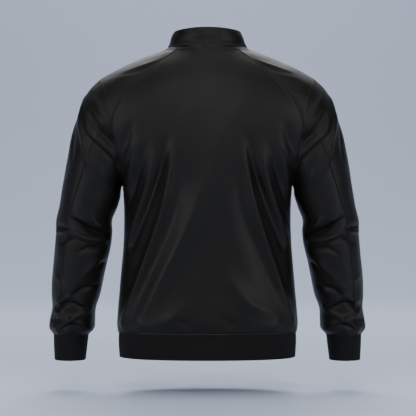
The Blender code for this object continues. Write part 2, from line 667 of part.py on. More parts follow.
def build_slider(frame):
    """Two plates round the chain, joined by a narrow bridge above it, with a bail on the front plate."""
    near = CHAIN_HALF_THICKNESS + FIT_GAP
    far = near + PLATE_THICKNESS
    skin = PLATE_THICKNESS / 8
    low, high = -SLIDER_LENGTH, BRIDGE_HEIGHT
    legs = ((-far + skin, low + skin), (-near - skin, low + skin), (-near - skin, FIT_GAP),
            (near + skin, FIT_GAP), (near + skin, low + skin), (far - skin, low + skin),
            (far - skin, high + skin), (-far + skin, high + skin))
    across = (2 * CHAIN_HALF_WIDTH, 0.0, 0.0)
    body = prism("zip_slider", side_outline(legs, CHAIN_HALF_WIDTH), across, frame)
    slider = add_object("zip_slider", body, METAL_COLOUR, 0.35, 1.0)
    plan = ((-PLATE_END_HALF_WIDTH, low), (PLATE_END_HALF_WIDTH, low),
            (SLIDER_HALF_WIDTH, low / 2), (SLIDER_HALF_WIDTH, PLATE_SHOULDER),
            (PLATE_END_HALF_WIDTH, high), (-PLATE_END_HALF_WIDTH, high),
            (-SLIDER_HALF_WIDTH, PLATE_SHOULDER), (-SLIDER_HALF_WIDTH, low / 2))
    for name, out in (("front_plate", near), ("back_plate", -far)):
        loop = [(x, out, up) for x, up in plan]
        combine(slider, prism(name, loop, (0.0, PLATE_THICKNESS, 0.0), frame), "UNION")
    root = far - PLATE_THICKNESS / 2
    crest = far + BAIL_HEIGHT
    inner = BAIL_HALF_LENGTH - BAIL_LEG
    bail = ((root, -BAIL_HALF_LENGTH), (crest, -BAIL_HALF_LENGTH), (crest, BAIL_HALF_LENGTH),
            (root, BAIL_HALF_LENGTH), (root, inner), (far + BAIL_HOLE, inner), (far + BAIL_HOLE, -inner),
            (root, -inner))
    loop = side_outline([(out, up + BAIL_MIDDLE) for out, up in bail], BAIL_HALF_WIDTH)
    combine(slider, prism("bail", loop, (2 * BAIL_HALF_WIDTH, 0.0, 0.0), frame), "UNION")


def build_pull(frame):
    """The pull tab: a flat tab with an eye, whose top bar turns under the bail; its origin is the hinge."""
    end, out, up = frame
    far = CHAIN_HALF_THICKNESS + FIT_GAP + PLATE_THICKNESS
    hinge = end + out * (far + BAIL_HOLE / 2) + up * BAIL_MIDDLE
    own = (np.zeros(3), out, up)
    steps = np.linspace(math.pi, 2 * math.pi, 9)
    low = PULL_HALF_WIDTH - PULL_LENGTH
    half = PULL_HALF_WIDTH
    loop = [(half * math.cos(turn), -BAR_RADIUS, low + half * math.sin(turn)) for turn in steps]
    loop += [(half, -BAR_RADIUS, BAR_RADIUS), (-half, -BAR_RADIUS, BAR_RADIUS)]
    tab = prism("zip_pull", loop, (0.0, 2 * BAR_RADIUS, 0.0), own)
    pull = add_object("zip_pull", tab, METAL_COLOUR, 0.35, 1.0)
    pull.location = Vector(hinge)
    corners = ((-EYE_INNER_HALF_WIDTH, -BAR_RADIUS), (EYE_INNER_HALF_WIDTH, -BAR_RADIUS),
               (EYE_INNER_HALF_WIDTH, -EYE_REACH), (-EYE_INNER_HALF_WIDTH, -EYE_REACH))
    eye = [(x, -2 * BAR_RADIUS, up) for x, up in corners]
    combine(pull, prism("eye", eye, (0.0, 4 * BAR_RADIUS, 0.0), own), "DIFFERENCE")


for old in list(bpy.data.objects):
    bpy.data.objects.remove(old)

flat = surfaces()
signs = outward_signs(flat)
flat_normals = grid_normals(flat, signs)
shaped = {name: grid + flat_normals[name] * soft_folds(grid, flat_normals[name])[..., None]
          for name, grid in flat.items()}
shaped_normals = grid_normals(shaped, signs)
build_cloth(shaped, shaped_normals)
build_tapes(shaped, shaped_normals)
chain_end = build_chain(*zip_line(shaped))
build_slider(chain_end)
build_pull(chain_end)
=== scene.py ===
"""Zipped track jacket: the fine cloth, seams, stitching, rib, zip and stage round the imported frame.

X runs across the body with the wearer's left at +X, -Y is the zipped front, +Y the back and +Z up, in
metres. Every cloth piece is a surface worked out from the garment's sizes, with its folds laid on as soft
ridges and troughs, and then given its wall."""

import math

import bpy
import numpy as np
from bpy.props import FloatProperty, FloatVectorProperty, PointerProperty
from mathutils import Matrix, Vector


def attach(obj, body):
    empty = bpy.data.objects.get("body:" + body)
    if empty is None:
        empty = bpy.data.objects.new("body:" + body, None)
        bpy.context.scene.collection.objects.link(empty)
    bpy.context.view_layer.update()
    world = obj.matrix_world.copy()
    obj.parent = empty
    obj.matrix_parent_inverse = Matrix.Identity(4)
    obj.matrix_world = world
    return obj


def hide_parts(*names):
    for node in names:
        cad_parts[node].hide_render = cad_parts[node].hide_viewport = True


bl_info = {
    "name": "Track Jacket",
    "version": (1, 0, 0),
    "blender": (4, 5, 0),
    "location": "View3D > Sidebar > Jacket",
    "description": "Builds the cloth, trims and zip of a worn track jacket",
    "category": "Object",
}

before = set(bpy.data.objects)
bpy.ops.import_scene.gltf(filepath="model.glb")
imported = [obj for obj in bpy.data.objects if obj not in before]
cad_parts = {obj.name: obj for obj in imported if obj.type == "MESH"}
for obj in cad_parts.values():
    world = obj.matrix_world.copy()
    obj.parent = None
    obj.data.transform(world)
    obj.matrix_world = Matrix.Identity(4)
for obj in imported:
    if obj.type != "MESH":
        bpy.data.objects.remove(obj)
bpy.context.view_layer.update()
JACKET = "jacket"

# Neck rings: half_width, middle_y, half_depth, side height, back height and front height
NECK_SEAM = dict(
    half_width=0.0955, middle_y=-0.003, half_depth=0.0750, side=0.0000, back=-0.0030, front=-0.0480)
COLLAR_FOOT = dict(
    half_width=0.0855, middle_y=-0.003, half_depth=0.0705, side=0.0072, back=0.0055, front=-0.0405)
COLLAR_TOP = dict(
    half_width=0.0715, middle_y=0.002, half_depth=0.0620, side=0.0415, back=0.0465, front=0.0080)
RAGLAN_BACK_TURN = math.radians(136.1)
RAGLAN_FRONT_TURN = math.radians(50.0)

# Armhole: shoulder point, underarm point, and how far the ring bows backward and forward
SHOULDER_POINT = np.array((0.2340, 0.0, -0.0630))
UNDERARM_POINT = np.array((0.1850, 0.0, -0.2935))
ARMHOLE_BACK_BOW = np.array((-0.0050, 0.0880, 0.0110))
ARMHOLE_FRONT_BOW = np.array((-0.0100, -0.0860, 0.0070))
RAGLAN_BACK_PULLS = ((0.1150, 0.0730, -0.0360), (0.2050, 0.0930, -0.1100))
RAGLAN_FRONT_PULLS = ((0.1180, -0.0720, -0.0560), (0.1960, -0.0910, -0.1180))
SHOULDER_ROUND = 0.0020

# Body: half width at the side seam, and depth at the middle of the back and front
SIDE_SEAM = np.array((
    # z, half_width
    (-0.2935, 0.1850),
    (-0.3300, 0.1822),
    (-0.3800, 0.1815),
    (-0.4300, 0.1835),
    (-0.4800, 0.1878),
    (-0.5300, 0.1920),
    (-0.5750, 0.1958),
    (-0.6000, 0.1972),
    (-0.6150, 0.1945),
))
MIDDLE_DEPTH = np.array((
    # z, back_y, front_y
    (-0.003, 0.0720, -0.0600),
    (-0.048, 0.0960, -0.0780),
    (-0.080, 0.1060, -0.0950),
    (-0.120, 0.1140, -0.1100),
    (-0.170, 0.1200, -0.1220),
    (-0.230, 0.1230, -0.1300),
    (-0.310, 0.1200, -0.1310),
    (-0.390, 0.1140, -0.1270),
    (-0.460, 0.1115, -0.1245),
    (-0.530, 0.1140, -0.1250),
    (-0.590, 0.1180, -0.1265),
    (-0.615, 0.1150, -0.1215),
))
BODY_SQUARENESS = 0.35
BODY_LEVELS = 400
EVEN_REACH = 36
EVEN_WIDTH = 12.0
HEM_TOP_Z = -0.6150
HEM_BOTTOM_Z = -0.6690
HEM_DRAW_IN = 0.0030
RAGLAN_SHARE = 0.32
ARMHOLE_SHARE = 0.545

SLEEVE_RINGS = np.array((
    # outer_x, outer_z, inner_x, inner_z, half_depth, forward, seam_turn in degrees
    (0.2340, -0.0630, 0.1850, -0.2935, 0.0870, 0.0000, 0.0),
    (0.2575, -0.0860, 0.1887, -0.2962, 0.0868, 0.0000, 3.0),
    (0.2765, -0.1200, 0.1896, -0.2993, 0.0850, 0.0005, 7.0),
    (0.2910, -0.1600, 0.1902, -0.3028, 0.0825, 0.0010, 11.0),
    (0.3005, -0.2000, 0.1907, -0.3065, 0.0800, 0.0020, 14.0),
    (0.3085, -0.2440, 0.1912, -0.3112, 0.0775, 0.0030, 18.0),
    (0.3165, -0.2900, 0.1920, -0.3180, 0.0750, 0.0045, 23.0),
    (0.3245, -0.3380, 0.1985, -0.3400, 0.0725, 0.0065, 28.0),
    (0.3320, -0.3720, 0.2105, -0.3700, 0.0690, 0.0085, 31.0),
    (0.3320, -0.3960, 0.2100, -0.3960, 0.0665, 0.0100, 33.0),
    (0.3350, -0.4240, 0.2125, -0.4240, 0.0665, 0.0120, 33.0),
    (0.3390, -0.4620, 0.2215, -0.4620, 0.0650, 0.0160, 33.0),
    (0.3425, -0.5000, 0.2300, -0.5000, 0.0630, 0.0210, 33.0),
    (0.3440, -0.5360, 0.2385, -0.5360, 0.0595, 0.0270, 33.0),
    (0.3430, -0.5640, 0.2480, -0.5640, 0.0545, 0.0320, 33.0),
    (0.3480, -0.5900, 0.2500, -0.5900, 0.0545, 0.0360, 33.0),
    (0.3500, -0.6100, 0.2520, -0.6100, 0.0515, 0.0385, 33.0),
    (0.3405, -0.6240, 0.2650, -0.6240, 0.0400, 0.0400, 33.0),
))
CUFF_RINGS = np.array((
    # outer_x, outer_z, inner_x, inner_z, half_depth, forward, seam_turn in degrees
    (0.3405, -0.6240, 0.2650, -0.6240, 0.0400, 0.0400, 33.0),
    (0.3400, -0.6520, 0.2685, -0.6520, 0.0375, 0.0425, 33.0),
    (0.3385, -0.6815, 0.2725, -0.6815, 0.0350, 0.0450, 33.0),
))

# Walls and seams
BODY_SPREAD = 1.45
KNIT_WALL = 0.0016
RIB_WALL = 0.0026
COLLAR_WALL = 0.0030
TAPE_WALL = 0.0010
SEAM_HALF_GAP = 0.00015

# Beside a seam: the stitches' distance, the welt and groove they pull, and the puckering along it
STITCH_FROM_SEAM = 0.0033
STITCH_FROM_ZIP = 0.0060
STITCH_FROM_TOP = 0.0065
WELT = 0.0006
WELT_WIDTH = 0.0011
GROOVE = 0.0005
GROOVE_WIDTH = 0.0006
PUCKER = 0.00013
PUCKER_LENGTHS = (0.0115, 0.0173)
PUCKER_REACH = 0.007
HELD_REACH = 0.006
NEAR_SEAM = np.array((0.0, 0.0003, 0.0008, 0.0015, 0.0022, 0.0029, 0.0038))

ALL_BORDERS = ("first", "last", "left", "right")
KNIT = ("Satin Knit", "knit")
RIB = ("Rib Knit", "rib")
TAPE = ("Zip Tape", "zip_tape")

# Rows and columns of the grids, and the lengths in metres that place their lines beside the seams
BACK_GRID = (160, 80)
FRONT_GRID = (165, 80)
BODY_LENGTHS = (0.62, 0.25)
SHOULDER_GRID = (70, 70)
SHOULDER_LENGTHS = (0.19, 0.2)
SLEEVE_LEVELS = 180
NECK_COLUMNS = 190
NECK_LENGTH = 0.46
BAND_HEIGHT = 0.011
COLLAR_HEIGHT = 0.045
HEM_HEIGHT = 0.054
CUFF_LENGTH = 0.057
CUFF_GIRTH = 0.232

# The collar's dented middle, bowed outline and slow waves, and how the hem band nips in under the body
COLLAR_DENT = 0.0011
COLLAR_BOW = 0.0012
COLLAR_WAVE = 0.0005
HEM_NIP = 0.0016
HEM_NIP_REACH = 0.012

# Zip: the tape lies behind the front edge, from TAPE_INNER_X to the second of TAPE_BORDERS, and stops short
# of both ends. A tooth is given by its half length, its radius and how far it is squeezed.
ZIP_HALF_OPENING = 0.0070
TAPE_INNER_X = 0.0032
TAPE_BEHIND = 0.0022
TAPE_BORDERS = (0.0005, 0.0055)
TAPE_ENDS = (0.0095, 0.002)
TOOTH_BEHIND = 0.0014
TOOTH_X = 0.0014
TOOTH_LEAN = 0.22
TOOTH_SIZE = (0.0017, 0.00075, 1.2)

# Stage: the backdrop's level part, its curve up and its upright part
COVE_LEVEL_Y = (7.0, 3.0, 1.0, 0.0)
COVE_CURVE_Y = -3.4
COVE_RADIUS = 1.8
COVE_TOP = 4.5
COVE_HALF_WIDTH = 7.0


def smooth(t):
    """The smooth step from 0 to 1: 3t^2 - 2t^3, held at its ends."""
    t = np.clip(t, 0.0, 1.0)
    return t * t * (3.0 - 2.0 * t)


def through(values, where):
    """A smooth curve through rows of values at whole numbers, read at the places given.

    Each stretch is the cubic whose slope at a row is half the step between its neighbours."""
    values = np.asarray(values, dtype=float)
    where = np.asarray(where, dtype=float)
    last = len(values) - 1
    low = np.clip(np.floor(where).astype(int), 0, last - 1)
    t = (where - low)[..., None] if values.ndim > 1 else where - low
    slope = np.gradient(values, axis=0)
    first, second = values[low], values[low + 1]
    return (first * (1 + 2 * t) * (1 - t) ** 2 + slope[low] * t * (1 - t) ** 2
            + second * t * t * (3 - 2 * t) - slope[low + 1] * t * t * (1 - t))


def read_table(rows, at, column):
    """One column of a table read smoothly at values of its first column, which falls down the table."""
    place = np.interp(-np.asarray(at), -rows[:, 0], np.arange(len(rows)))
    return through(rows[:, column], place)


def mirror(points):
    """The same points on the wearer's other side."""
    return points * np.array((-1.0, 1.0, 1.0))


def neck_ring(ring, turns):
    """A neck ring: an ellipse from above, whose height drops to the front; turns run from 0 at the front."""
    forward = np.maximum(np.cos(turns), 0.0)
    backward = np.maximum(-np.cos(turns), 0.0)
    x = ring["half_width"] * np.sin(turns)
    y = ring["middle_y"] - ring["half_depth"] * np.cos(turns)
    front, back = ring["front"] - ring["side"], ring["back"] - ring["side"]
    z = ring["side"] + front * forward**1.4 + back * backward**2
    return np.stack((x, y, z), -1)


def armhole(angles):
    """The armhole ring: an ellipse from the shoulder point at 0 to the underarm at pi, bowed outward."""
    middle = (SHOULDER_POINT + UNDERARM_POINT) / 2
    across = np.cos(angles)[..., None] * (SHOULDER_POINT - middle)
    back = np.maximum(np.sin(angles), 0.0)[..., None] * ARMHOLE_BACK_BOW
    front = np.maximum(-np.sin(angles), 0.0)[..., None] * ARMHOLE_FRONT_BOW
    return middle + across + back + front


def raglan(turn, angle, pulls, t):
    """The cubic curve from the neck seam to the armhole, at shares t of its way."""
    t = np.asarray(t)[..., None]
    start = neck_ring(NECK_SEAM, np.array(turn))
    end = armhole(np.array(angle))
    first, second = (np.array(pull) for pull in pulls)
    return start * (1 - t) ** 3 + 3 * first * t * (1 - t) ** 2 + 3 * second * t * t * (1 - t) + end * t**3


def body_edge(turn, angle, pulls, down):
    """A body panel's edge: raglan seam, lower armhole and side seam, at shares down of the panel."""
    seam = raglan(turn, angle, pulls, np.clip(down / RAGLAN_SHARE, 0, 1))
    under = (down - RAGLAN_SHARE) / (ARMHOLE_SHARE - RAGLAN_SHARE)
    turned = angle + (math.copysign(math.pi, angle) - angle) * np.clip(under, 0, 1)
    z = UNDERARM_POINT[2] + (HEM_TOP_Z - UNDERARM_POINT[2]) * np.clip(
        (down - ARMHOLE_SHARE) / (1 - ARMHOLE_SHARE), 0, 1)
    side = np.stack((read_table(SIDE_SEAM, z, 1), np.zeros_like(z), z), -1)
    edge = np.where((down <= RAGLAN_SHARE)[:, None], seam, armhole(turned))
    return np.where((down > ARMHOLE_SHARE)[:, None], side, edge)


def body_surface(side, share, down):
    """Half a body panel: share runs from the edge at 0 to the middle at 1, down from the neck to the hem.

    A level is a squared-off ellipse, |x/A|^n + |y/C|^n = 1. C is the depth at the middle, and A is such that
    the ellipse meets the seam; away from the seam A is evened out along the panel, so that the corners of
    the seam line leave no crease."""
    back = side == "back"
    turn, angle, pulls, column = (
        (RAGLAN_BACK_TURN, math.pi / 2, RAGLAN_BACK_PULLS, 1) if back
        else (RAGLAN_FRONT_TURN, -math.pi / 2, RAGLAN_FRONT_PULLS, 2))
    opening = 0.0 if back else ZIP_HALF_OPENING
    neck_middle = NECK_SEAM["back"] if back else NECK_SEAM["front"]
    levels = np.linspace(0.0, 1.0, BODY_LEVELS + 1)
    edge = body_edge(turn, angle, pulls, levels)
    fade = np.clip(1 - levels / RAGLAN_SHARE, 0, 1) ** 1.5
    middle_z = edge[:, 2] + fade * (neck_middle - edge[0, 2])
    depth = np.abs(read_table(MIDDLE_DEPTH, middle_z, column))
    depth[0] = abs(neck_ring(NECK_SEAM, np.array(math.pi if back else 0.0))[1])
    power = 2.0 + BODY_SQUARENESS * smooth((levels - RAGLAN_SHARE) / (ARMHOLE_SHARE - RAGLAN_SHARE))
    reach = edge[:, 0] / (1 - (np.abs(edge[:, 1]) / depth) ** power) ** (1 / power)
    bell = np.exp(-0.5 * (np.arange(-EVEN_REACH, EVEN_REACH + 1) / EVEN_WIDTH) ** 2)
    even = np.convolve(np.pad(reach, EVEN_REACH, mode="edge"), bell / bell.sum(), mode="valid")
    rows = np.stack((edge[:, 0], edge[:, 2], middle_z, depth, power, reach, even), -1)
    rows = through(rows, down[:, 0] * BODY_LEVELS)
    edge_x, edge_z, middle_z, depth, power, reach, even = (rows[:, i : i + 1] for i in range(7))
    span = np.arcsin(np.clip(edge_x / reach, 0, 1))
    last = np.arcsin(opening / reach) / span
    k = 1 + (last - 1) * share
    wide = even + (reach - even) * k**6
    turned = np.sin(k * span)
    y = depth * (1 - np.abs(turned) ** power) ** (1 / power)
    z = middle_z + (edge_z - middle_z) * k**2
    points = np.stack((wide * turned, y if back else -y, z + 0 * y), -1)
    middle_turn = math.pi if back else math.asin(opening / NECK_SEAM["half_width"])
    neck_turn = turn + (middle_turn - turn) * share[0]
    settle = (1 - smooth(down / 0.08))[..., None]
    return points + (neck_ring(NECK_SEAM, neck_turn)[None] - points[:1]) * settle


def shoulder_surface(down, across):
    """A shoulder saddle: down runs from the neck at 0 to the armhole at 1, across from back to front.

    It blends the neck arc into the armhole arc, moved so that its sides follow the raglan seams, and
    swells."""
    turns = RAGLAN_BACK_TURN + (RAGLAN_FRONT_TURN - RAGLAN_BACK_TURN) * across
    angles = math.pi / 2 - math.pi * across
    t = down[..., None]
    blend = neck_ring(NECK_SEAM, turns) * (1 - t) + armhole(angles) * t
    back = raglan(RAGLAN_BACK_TURN, math.pi / 2, RAGLAN_BACK_PULLS, down)
    front = raglan(RAGLAN_FRONT_TURN, -math.pi / 2, RAGLAN_FRONT_PULLS, down)
    back_blend, front_blend = (
        neck_ring(NECK_SEAM, np.array(turn)) * (1 - t) + armhole(np.array(angle)) * t
        for turn, angle in ((RAGLAN_BACK_TURN, math.pi / 2), (RAGLAN_FRONT_TURN, -math.pi / 2)))
    s = across[..., None]
    swell = np.sin(math.pi * t) * np.sin(2 * math.pi * s) ** 2 * SHOULDER_ROUND
    outward = np.concatenate((0 * s, np.clip((0.5 - s) * 8, -0.6, 0.6), 0 * s + 0.8), -1)
    return blend + (back - back_blend) * (1 - s) ** 3 + (front - front_blend) * s**3 + swell * outward


def sleeve_surface(rings, angles, level):
    """A sleeve or cuff: angles as round the armhole, level from 0 at the first ring, one per ring.

    Each level is an ellipse between its outer and inner edge. The back seam turns outward down the arm, and
    the columns turn with it. The first rings keep the armhole's bow."""
    values = through(rings, level)
    outer_x, outer_z, inner_x, inner_z, half_depth, forward, seam_turn = np.moveaxis(values, -1, 0)
    turn = np.radians(seam_turn)
    back = math.pi - (math.pi - angles) * (math.pi / 2 + turn) / (math.pi / 2)
    rest = -math.pi + (angles + math.pi) * (1.5 * math.pi - turn) / (1.5 * math.pi)
    turned = np.where(angles > math.pi / 2, back, rest)
    outer = np.stack((outer_x, -forward, outer_z), -1)
    inner = np.stack((inner_x, -forward, inner_z), -1)
    depth = np.stack((0 * half_depth, half_depth, 0 * half_depth), -1)
    across, along = np.cos(turned)[..., None], np.sin(turned)[..., None]
    ring = (outer + inner) / 2 + across * (outer - inner) / 2 + along * depth
    if rings is CUFF_RINGS:
        return ring
    start = np.clip(1 - level / 3.0, 0, 1)[..., None] ** 2
    plain = (SHOULDER_POINT + UNDERARM_POINT) / 2 + across * (SHOULDER_POINT - UNDERARM_POINT) / 2
    plain = plain + along * np.array((0.0, SLEEVE_RINGS[0, 4], 0.0))
    return ring + (armhole(turned) - plain) * start


def shares(count, length, start_seam=True, end_seam=True):
    """Shares from 0 to 1 across a length in metres, closer together beside a seam at either end."""
    near = NEAR_SEAM / length
    low = near if start_seam else near[:1]
    high = 1 - near[::-1] if end_seam else 1 - near[:1]
    inside = np.linspace(low[-1], high[0], count + 1)
    return np.concatenate((low[:-1], inside, high[1:]))


def lengths_along(points, axis):
    """How far each point of a grid lies along one of its two directions, from its first line."""
    steps = np.linalg.norm(np.diff(points, axis=axis), axis=-1)
    start = np.zeros_like(steps[:1] if axis == 0 else steps[:, :1])
    return np.concatenate((start, np.cumsum(steps, axis=axis)), axis=axis)


def running_length(points):
    """How far each point of a line lies from its start."""
    return np.concatenate(([0.0], np.cumsum(np.linalg.norm(np.diff(points, axis=0), axis=1))))


def respaced(points, length, at):
    """A line's points read again at the given lengths along it."""
    return np.stack([np.interp(at, length, points[:, i]) for i in range(3)], -1)


def normals_of(points, wrap=False):
    """Unit normals of a grid of points, from the steps to the neighbours on either side."""
    if wrap:
        across = np.roll(points, -1, axis=1) - np.roll(points, 1, axis=1)
    else:
        across = np.gradient(points, axis=1)
    down = np.gradient(points, axis=0)
    found = np.cross(across, down)
    size = np.linalg.norm(found, axis=-1)
    return found / np.maximum(size, 1e-12)[..., None]


# Folds as seen from behind: three points (x, z) along each one, its half width, and its height at each point
BACK_FOLDS = (
    # start_x, start_z, middle_x, middle_z, end_x, end_z, half_width, start, middle, end, in millimetres
    (149, -219, 162, -255, 175, -306, 6, 0.5, 2, 1),
    (107, -221, 132, -317, 173, -423, 7, 0.3, 4, 1.5),
    (69, -206, 96, -359, 181, -593, 8, 0.3, 5, 2.5),
    (-18, -221, 37, -374, 132, -565, 14, 0.3, 3.5, 2),
    (130, -213, 152, -281, 175, -359, 7, -1, -2.5, -1),
    (84, -200, 107, -274, 162, -423, 9, -1, -4.5, -2),
    (56, -242, 75, -359, 143, -518, 12, -0.3, -2.5, -1.5),
    (173, -232, 165, -222, 156, -213, 4.5, 1, 2, 1),
    (164, -168, 172, -194, 180, -217, 6, -1, -2, -0.5),
    (62, -584, 50, -591, 37, -595, 6, -0.5, -1.4, -0.5),
    (162, -578, 145, -593, 122, -601, 8, 0.5, 1.5, 0.5),
    (101, -586, 75, -578, 50, -557, 10, 0.5, 1.5, 0.5),
    (-152, -219, -165, -255, -175, -302, 6, 0.5, 2.2, 1),
    (-112, -219, -135, -317, -173, -419, 7, 0.3, 4.2, 1.5),
    (-76, -204, -103, -359, -182, -588, 8, 0.3, 5, 2.5),
    (-35, -472, -82, -542, -137, -569, 13, 0.3, 3, 1),
    (-133, -213, -154, -281, -178, -357, 7, -1, -2.6, -1),
    (-86, -198, -107, -274, -163, -427, 9, -1, -4.6, -2),
    (-61, -253, -82, -370, -146, -518, 12, -0.3, -2.4, -1.5),
    (-174, -232, -167, -222, -157, -213, 4.5, 1, 2, 1),
    (-167, -168, -173, -194, -182, -217, 6, -1, -2, -0.5),
    (-35, -582, -50, -591, -65, -593, 6, -0.5, -1.5, -0.5),
    (-163, -580, -146, -593, -124, -601, 8, 0.5, 1.5, 0.5),
)
FRONT_FOLDS = (
    # start_x, start_z, middle_x, middle_z, end_x, end_z, half_width, start, middle, end, in millimetres
    (150, -205, 163, -262, 176, -330, 8, 1.5, 3, 1),
    (132, -196, 140, -290, 160, -402, 10, 1, 4, 2),
    (96, -190, 112, -330, 150, -520, 12, 1, 4, 2),
    (143, -208, 152, -282, 168, -366, 8, -2, -3.4, -1),
    (112, -190, 124, -310, 152, -452, 11, -2, -4.4, -1.5),
    (60, -250, 74, -400, 120, -566, 16, 0.5, 3, 1),
    (30, -300, 36, -360, 40, -440, 12, 0.5, 1.6, 0.5),
    (26, -160, 62, -150, 98, -122, 12, -0.5, -1.6, -0.5),
    (120, -596, 100, -588, 70, -594, 10, 0.5, 1.6, 0.5),
    (-152, -208, -165, -268, -176, -326, 8, 1.5, 3, 1),
    (-128, -192, -139, -284, -164, -420, 10, 1, 4, 2),
    (-90, -196, -106, -322, -144, -500, 12, 1, 4, 2),
    (-144, -212, -154, -276, -169, -372, 8, -2, -3.4, -1),
    (-109, -188, -122, -300, -150, -470, 11, -2, -4.4, -1.5),
    (-56, -262, -70, -392, -112, -572, 16, 0.5, 3, 1),
    (-28, -340, -34, -392, -38, -470, 12, 0.5, 1.4, 0.5),
    (-30, -156, -66, -148, -100, -116, 12, -0.5, -1.4, -0.5),
    (-132, -598, -106, -590, -84, -596, 10, 0.5, 1.6, 0.5),
)
SHOULDER_FOLDS = (
    # start_x, start_z, middle_x, middle_z, end_x, end_z, half_width, start, middle, end, in millimetres
    (180, -51, 139, -38, 92, -22, 6, 1, 2.2, 0.8),
    (193, -64, 163, -61, 128, -55, 5, 0.8, 1.8, 0.5),
    (146, -48, 124, -40, 102, -31, 5, -0.8, -1.4, -0.5),
    (193, -81, 156, -76, 120, -76, 7, -0.8, -1.6, -0.5),
)
SLEEVE_BACK_FOLDS = (
    # start_x, start_z, middle_x, middle_z, end_x, end_z, half_width, start, middle, end, in millimetres
    (267, -104, 274, -158, 261, -223, 6, 1.5, 3.5, 3),
    (261, -223, 254, -253, 244, -288, 6, 3, 2.5, 0.8),
    (263, -132, 250, -182, 194, -240, 6.5, 1, 4, 3),
    (250, -154, 228, -184, 198, -212, 5, 1, 3.2, 2),
    (246, -108, 226, -141, 201, -188, 5.5, 1, 3, 2.2),
    (257, -132, 239, -162, 198, -199, 5, -0.6, -3.2, -3.5),
    (220, -149, 207, -180, 195, -212, 5, -1.5, -3, -3),
    (250, -193, 226, -216, 189, -255, 6, -1.5, -3.5, -3),
    (244, -232, 228, -273, 202, -316, 7, 0.8, 1.8, 0.8),
    (283, -121, 291, -175, 293, -236, 9, -0.5, -2.5, -1),
    (293, -368, 259, -388, 217, -404, 7, -2.5, -7, -3),
    (250, -364, 235, -383, 218, -398, 4.5, 1, 3.4, 1.2),
    (298, -375, 276, -405, 222, -417, 6, 1.5, 4.4, 1.8),
    (285, -357, 276, -368, 263, -372, 4.5, 0.8, 2, 0.8),
    (328, -394, 311, -396, 289, -394, 5, 2, 2.6, 1),
    (326, -385, 315, -385, 302, -388, 4.5, -1.5, -2, -0.5),
    (319, -420, 296, -407, 259, -420, 5.5, -1.5, -2.8, -1.5),
    (280, -442, 254, -429, 226, -438, 5, -1.5, -3.6, -1.2),
    (332, -492, 315, -507, 293, -526, 7, 0.8, 1.6, 1),
    (237, -461, 267, -487, 298, -522, 7, 0.5, 1.4, 1),
    (239, -474, 231, -466, 220, -461, 6, -1, -2, -1),
    (330, -550, 315, -543, 298, -533, 5, 1.5, 3, 1.2),
    (289, -533, 272, -520, 244, -515, 6, -2, -3.2, -1.5),
    (298, -537, 278, -550, 254, -563, 5, 0.8, 2, 1),
    (332, -565, 300, -551, 261, -565, 4.8, -2, -3.6, -2),
    (332, -572, 302, -587, 257, -611, 4.5, 1.5, 3, 1.5),
    (259, -567, 298, -587, 335, -611, 4.5, 1.5, 3, 1.5),
    (319, -609, 296, -598, 267, -606, 4.2, -1.5, -3, -1.5),
    (343, -591, 335, -587, 326, -587, 5, -2, -2.4, -0.5),
    (330, -617, 293, -614, 254, -617, 4, 0.5, 1.2, 0.5),
)
SLEEVE_FRONT_FOLDS = (
    # start_x, start_z, middle_x, middle_z, end_x, end_z, half_width, start, middle, end, in millimetres
    (262, -118, 246, -172, 196, -228, 7, 0.8, 3.6, 2.5),
    (244, -112, 224, -150, 201, -196, 6, 0.8, 3, 2),
    (254, -126, 236, -166, 198, -208, 6, -0.6, -3.2, -3),
    (276, -150, 272, -210, 250, -286, 8, 0.8, 2.6, 1),
    (248, -206, 224, -236, 192, -262, 7, -1, -3.2, -2),
    (310, -362, 276, -376, 226, -392, 8, -1, -4.5, -2),
    (312, -380, 280, -396, 226, -412, 8, 1, 3.2, 1.5),
    (308, -404, 286, -412, 258, -408, 6, -1, -2.6, -1),
    (232, -436, 262, -424, 292, -434, 6, -1, -2.8, -1),
    (318, -470, 296, -492, 256, -518, 8, 0.8, 2, 1),
    (320, -538, 296, -548, 264, -538, 6, -1, -3, -1.5),
    (322, -552, 300, -566, 264, -586, 5, 1.2, 2.8, 1.5),
    (266, -556, 290, -572, 322, -594, 5, 1.2, 2.6, 1.5),
    (320, -600, 300, -590, 270, -602, 5, -1, -2.8, -1.5),
)
UNDULATIONS = (
    # wave along x, y and z in turns per metre, shift in turns, height in millimetres
    (9.0, 4.0, 5.0, 0.10, 0.25),
    (-6.0, 11.0, 8.0, 0.35, 0.22),
    (14.0, -7.0, 12.0, 0.60, 0.12),
    (5.0, 17.0, -19.0, 0.80, 0.08),
)


def rippled(points):
    """Slow, uneven waves over the cloth: a sum of a few sine waves of the point's place."""
    total = np.zeros(points.shape[:-1])
    for along_x, along_y, along_z, shift, height in UNDULATIONS:
        turns = points @ np.array((along_x, along_y, along_z)) + shift
        total += height / 1000 * np.sin(2 * math.pi * turns)
    return total


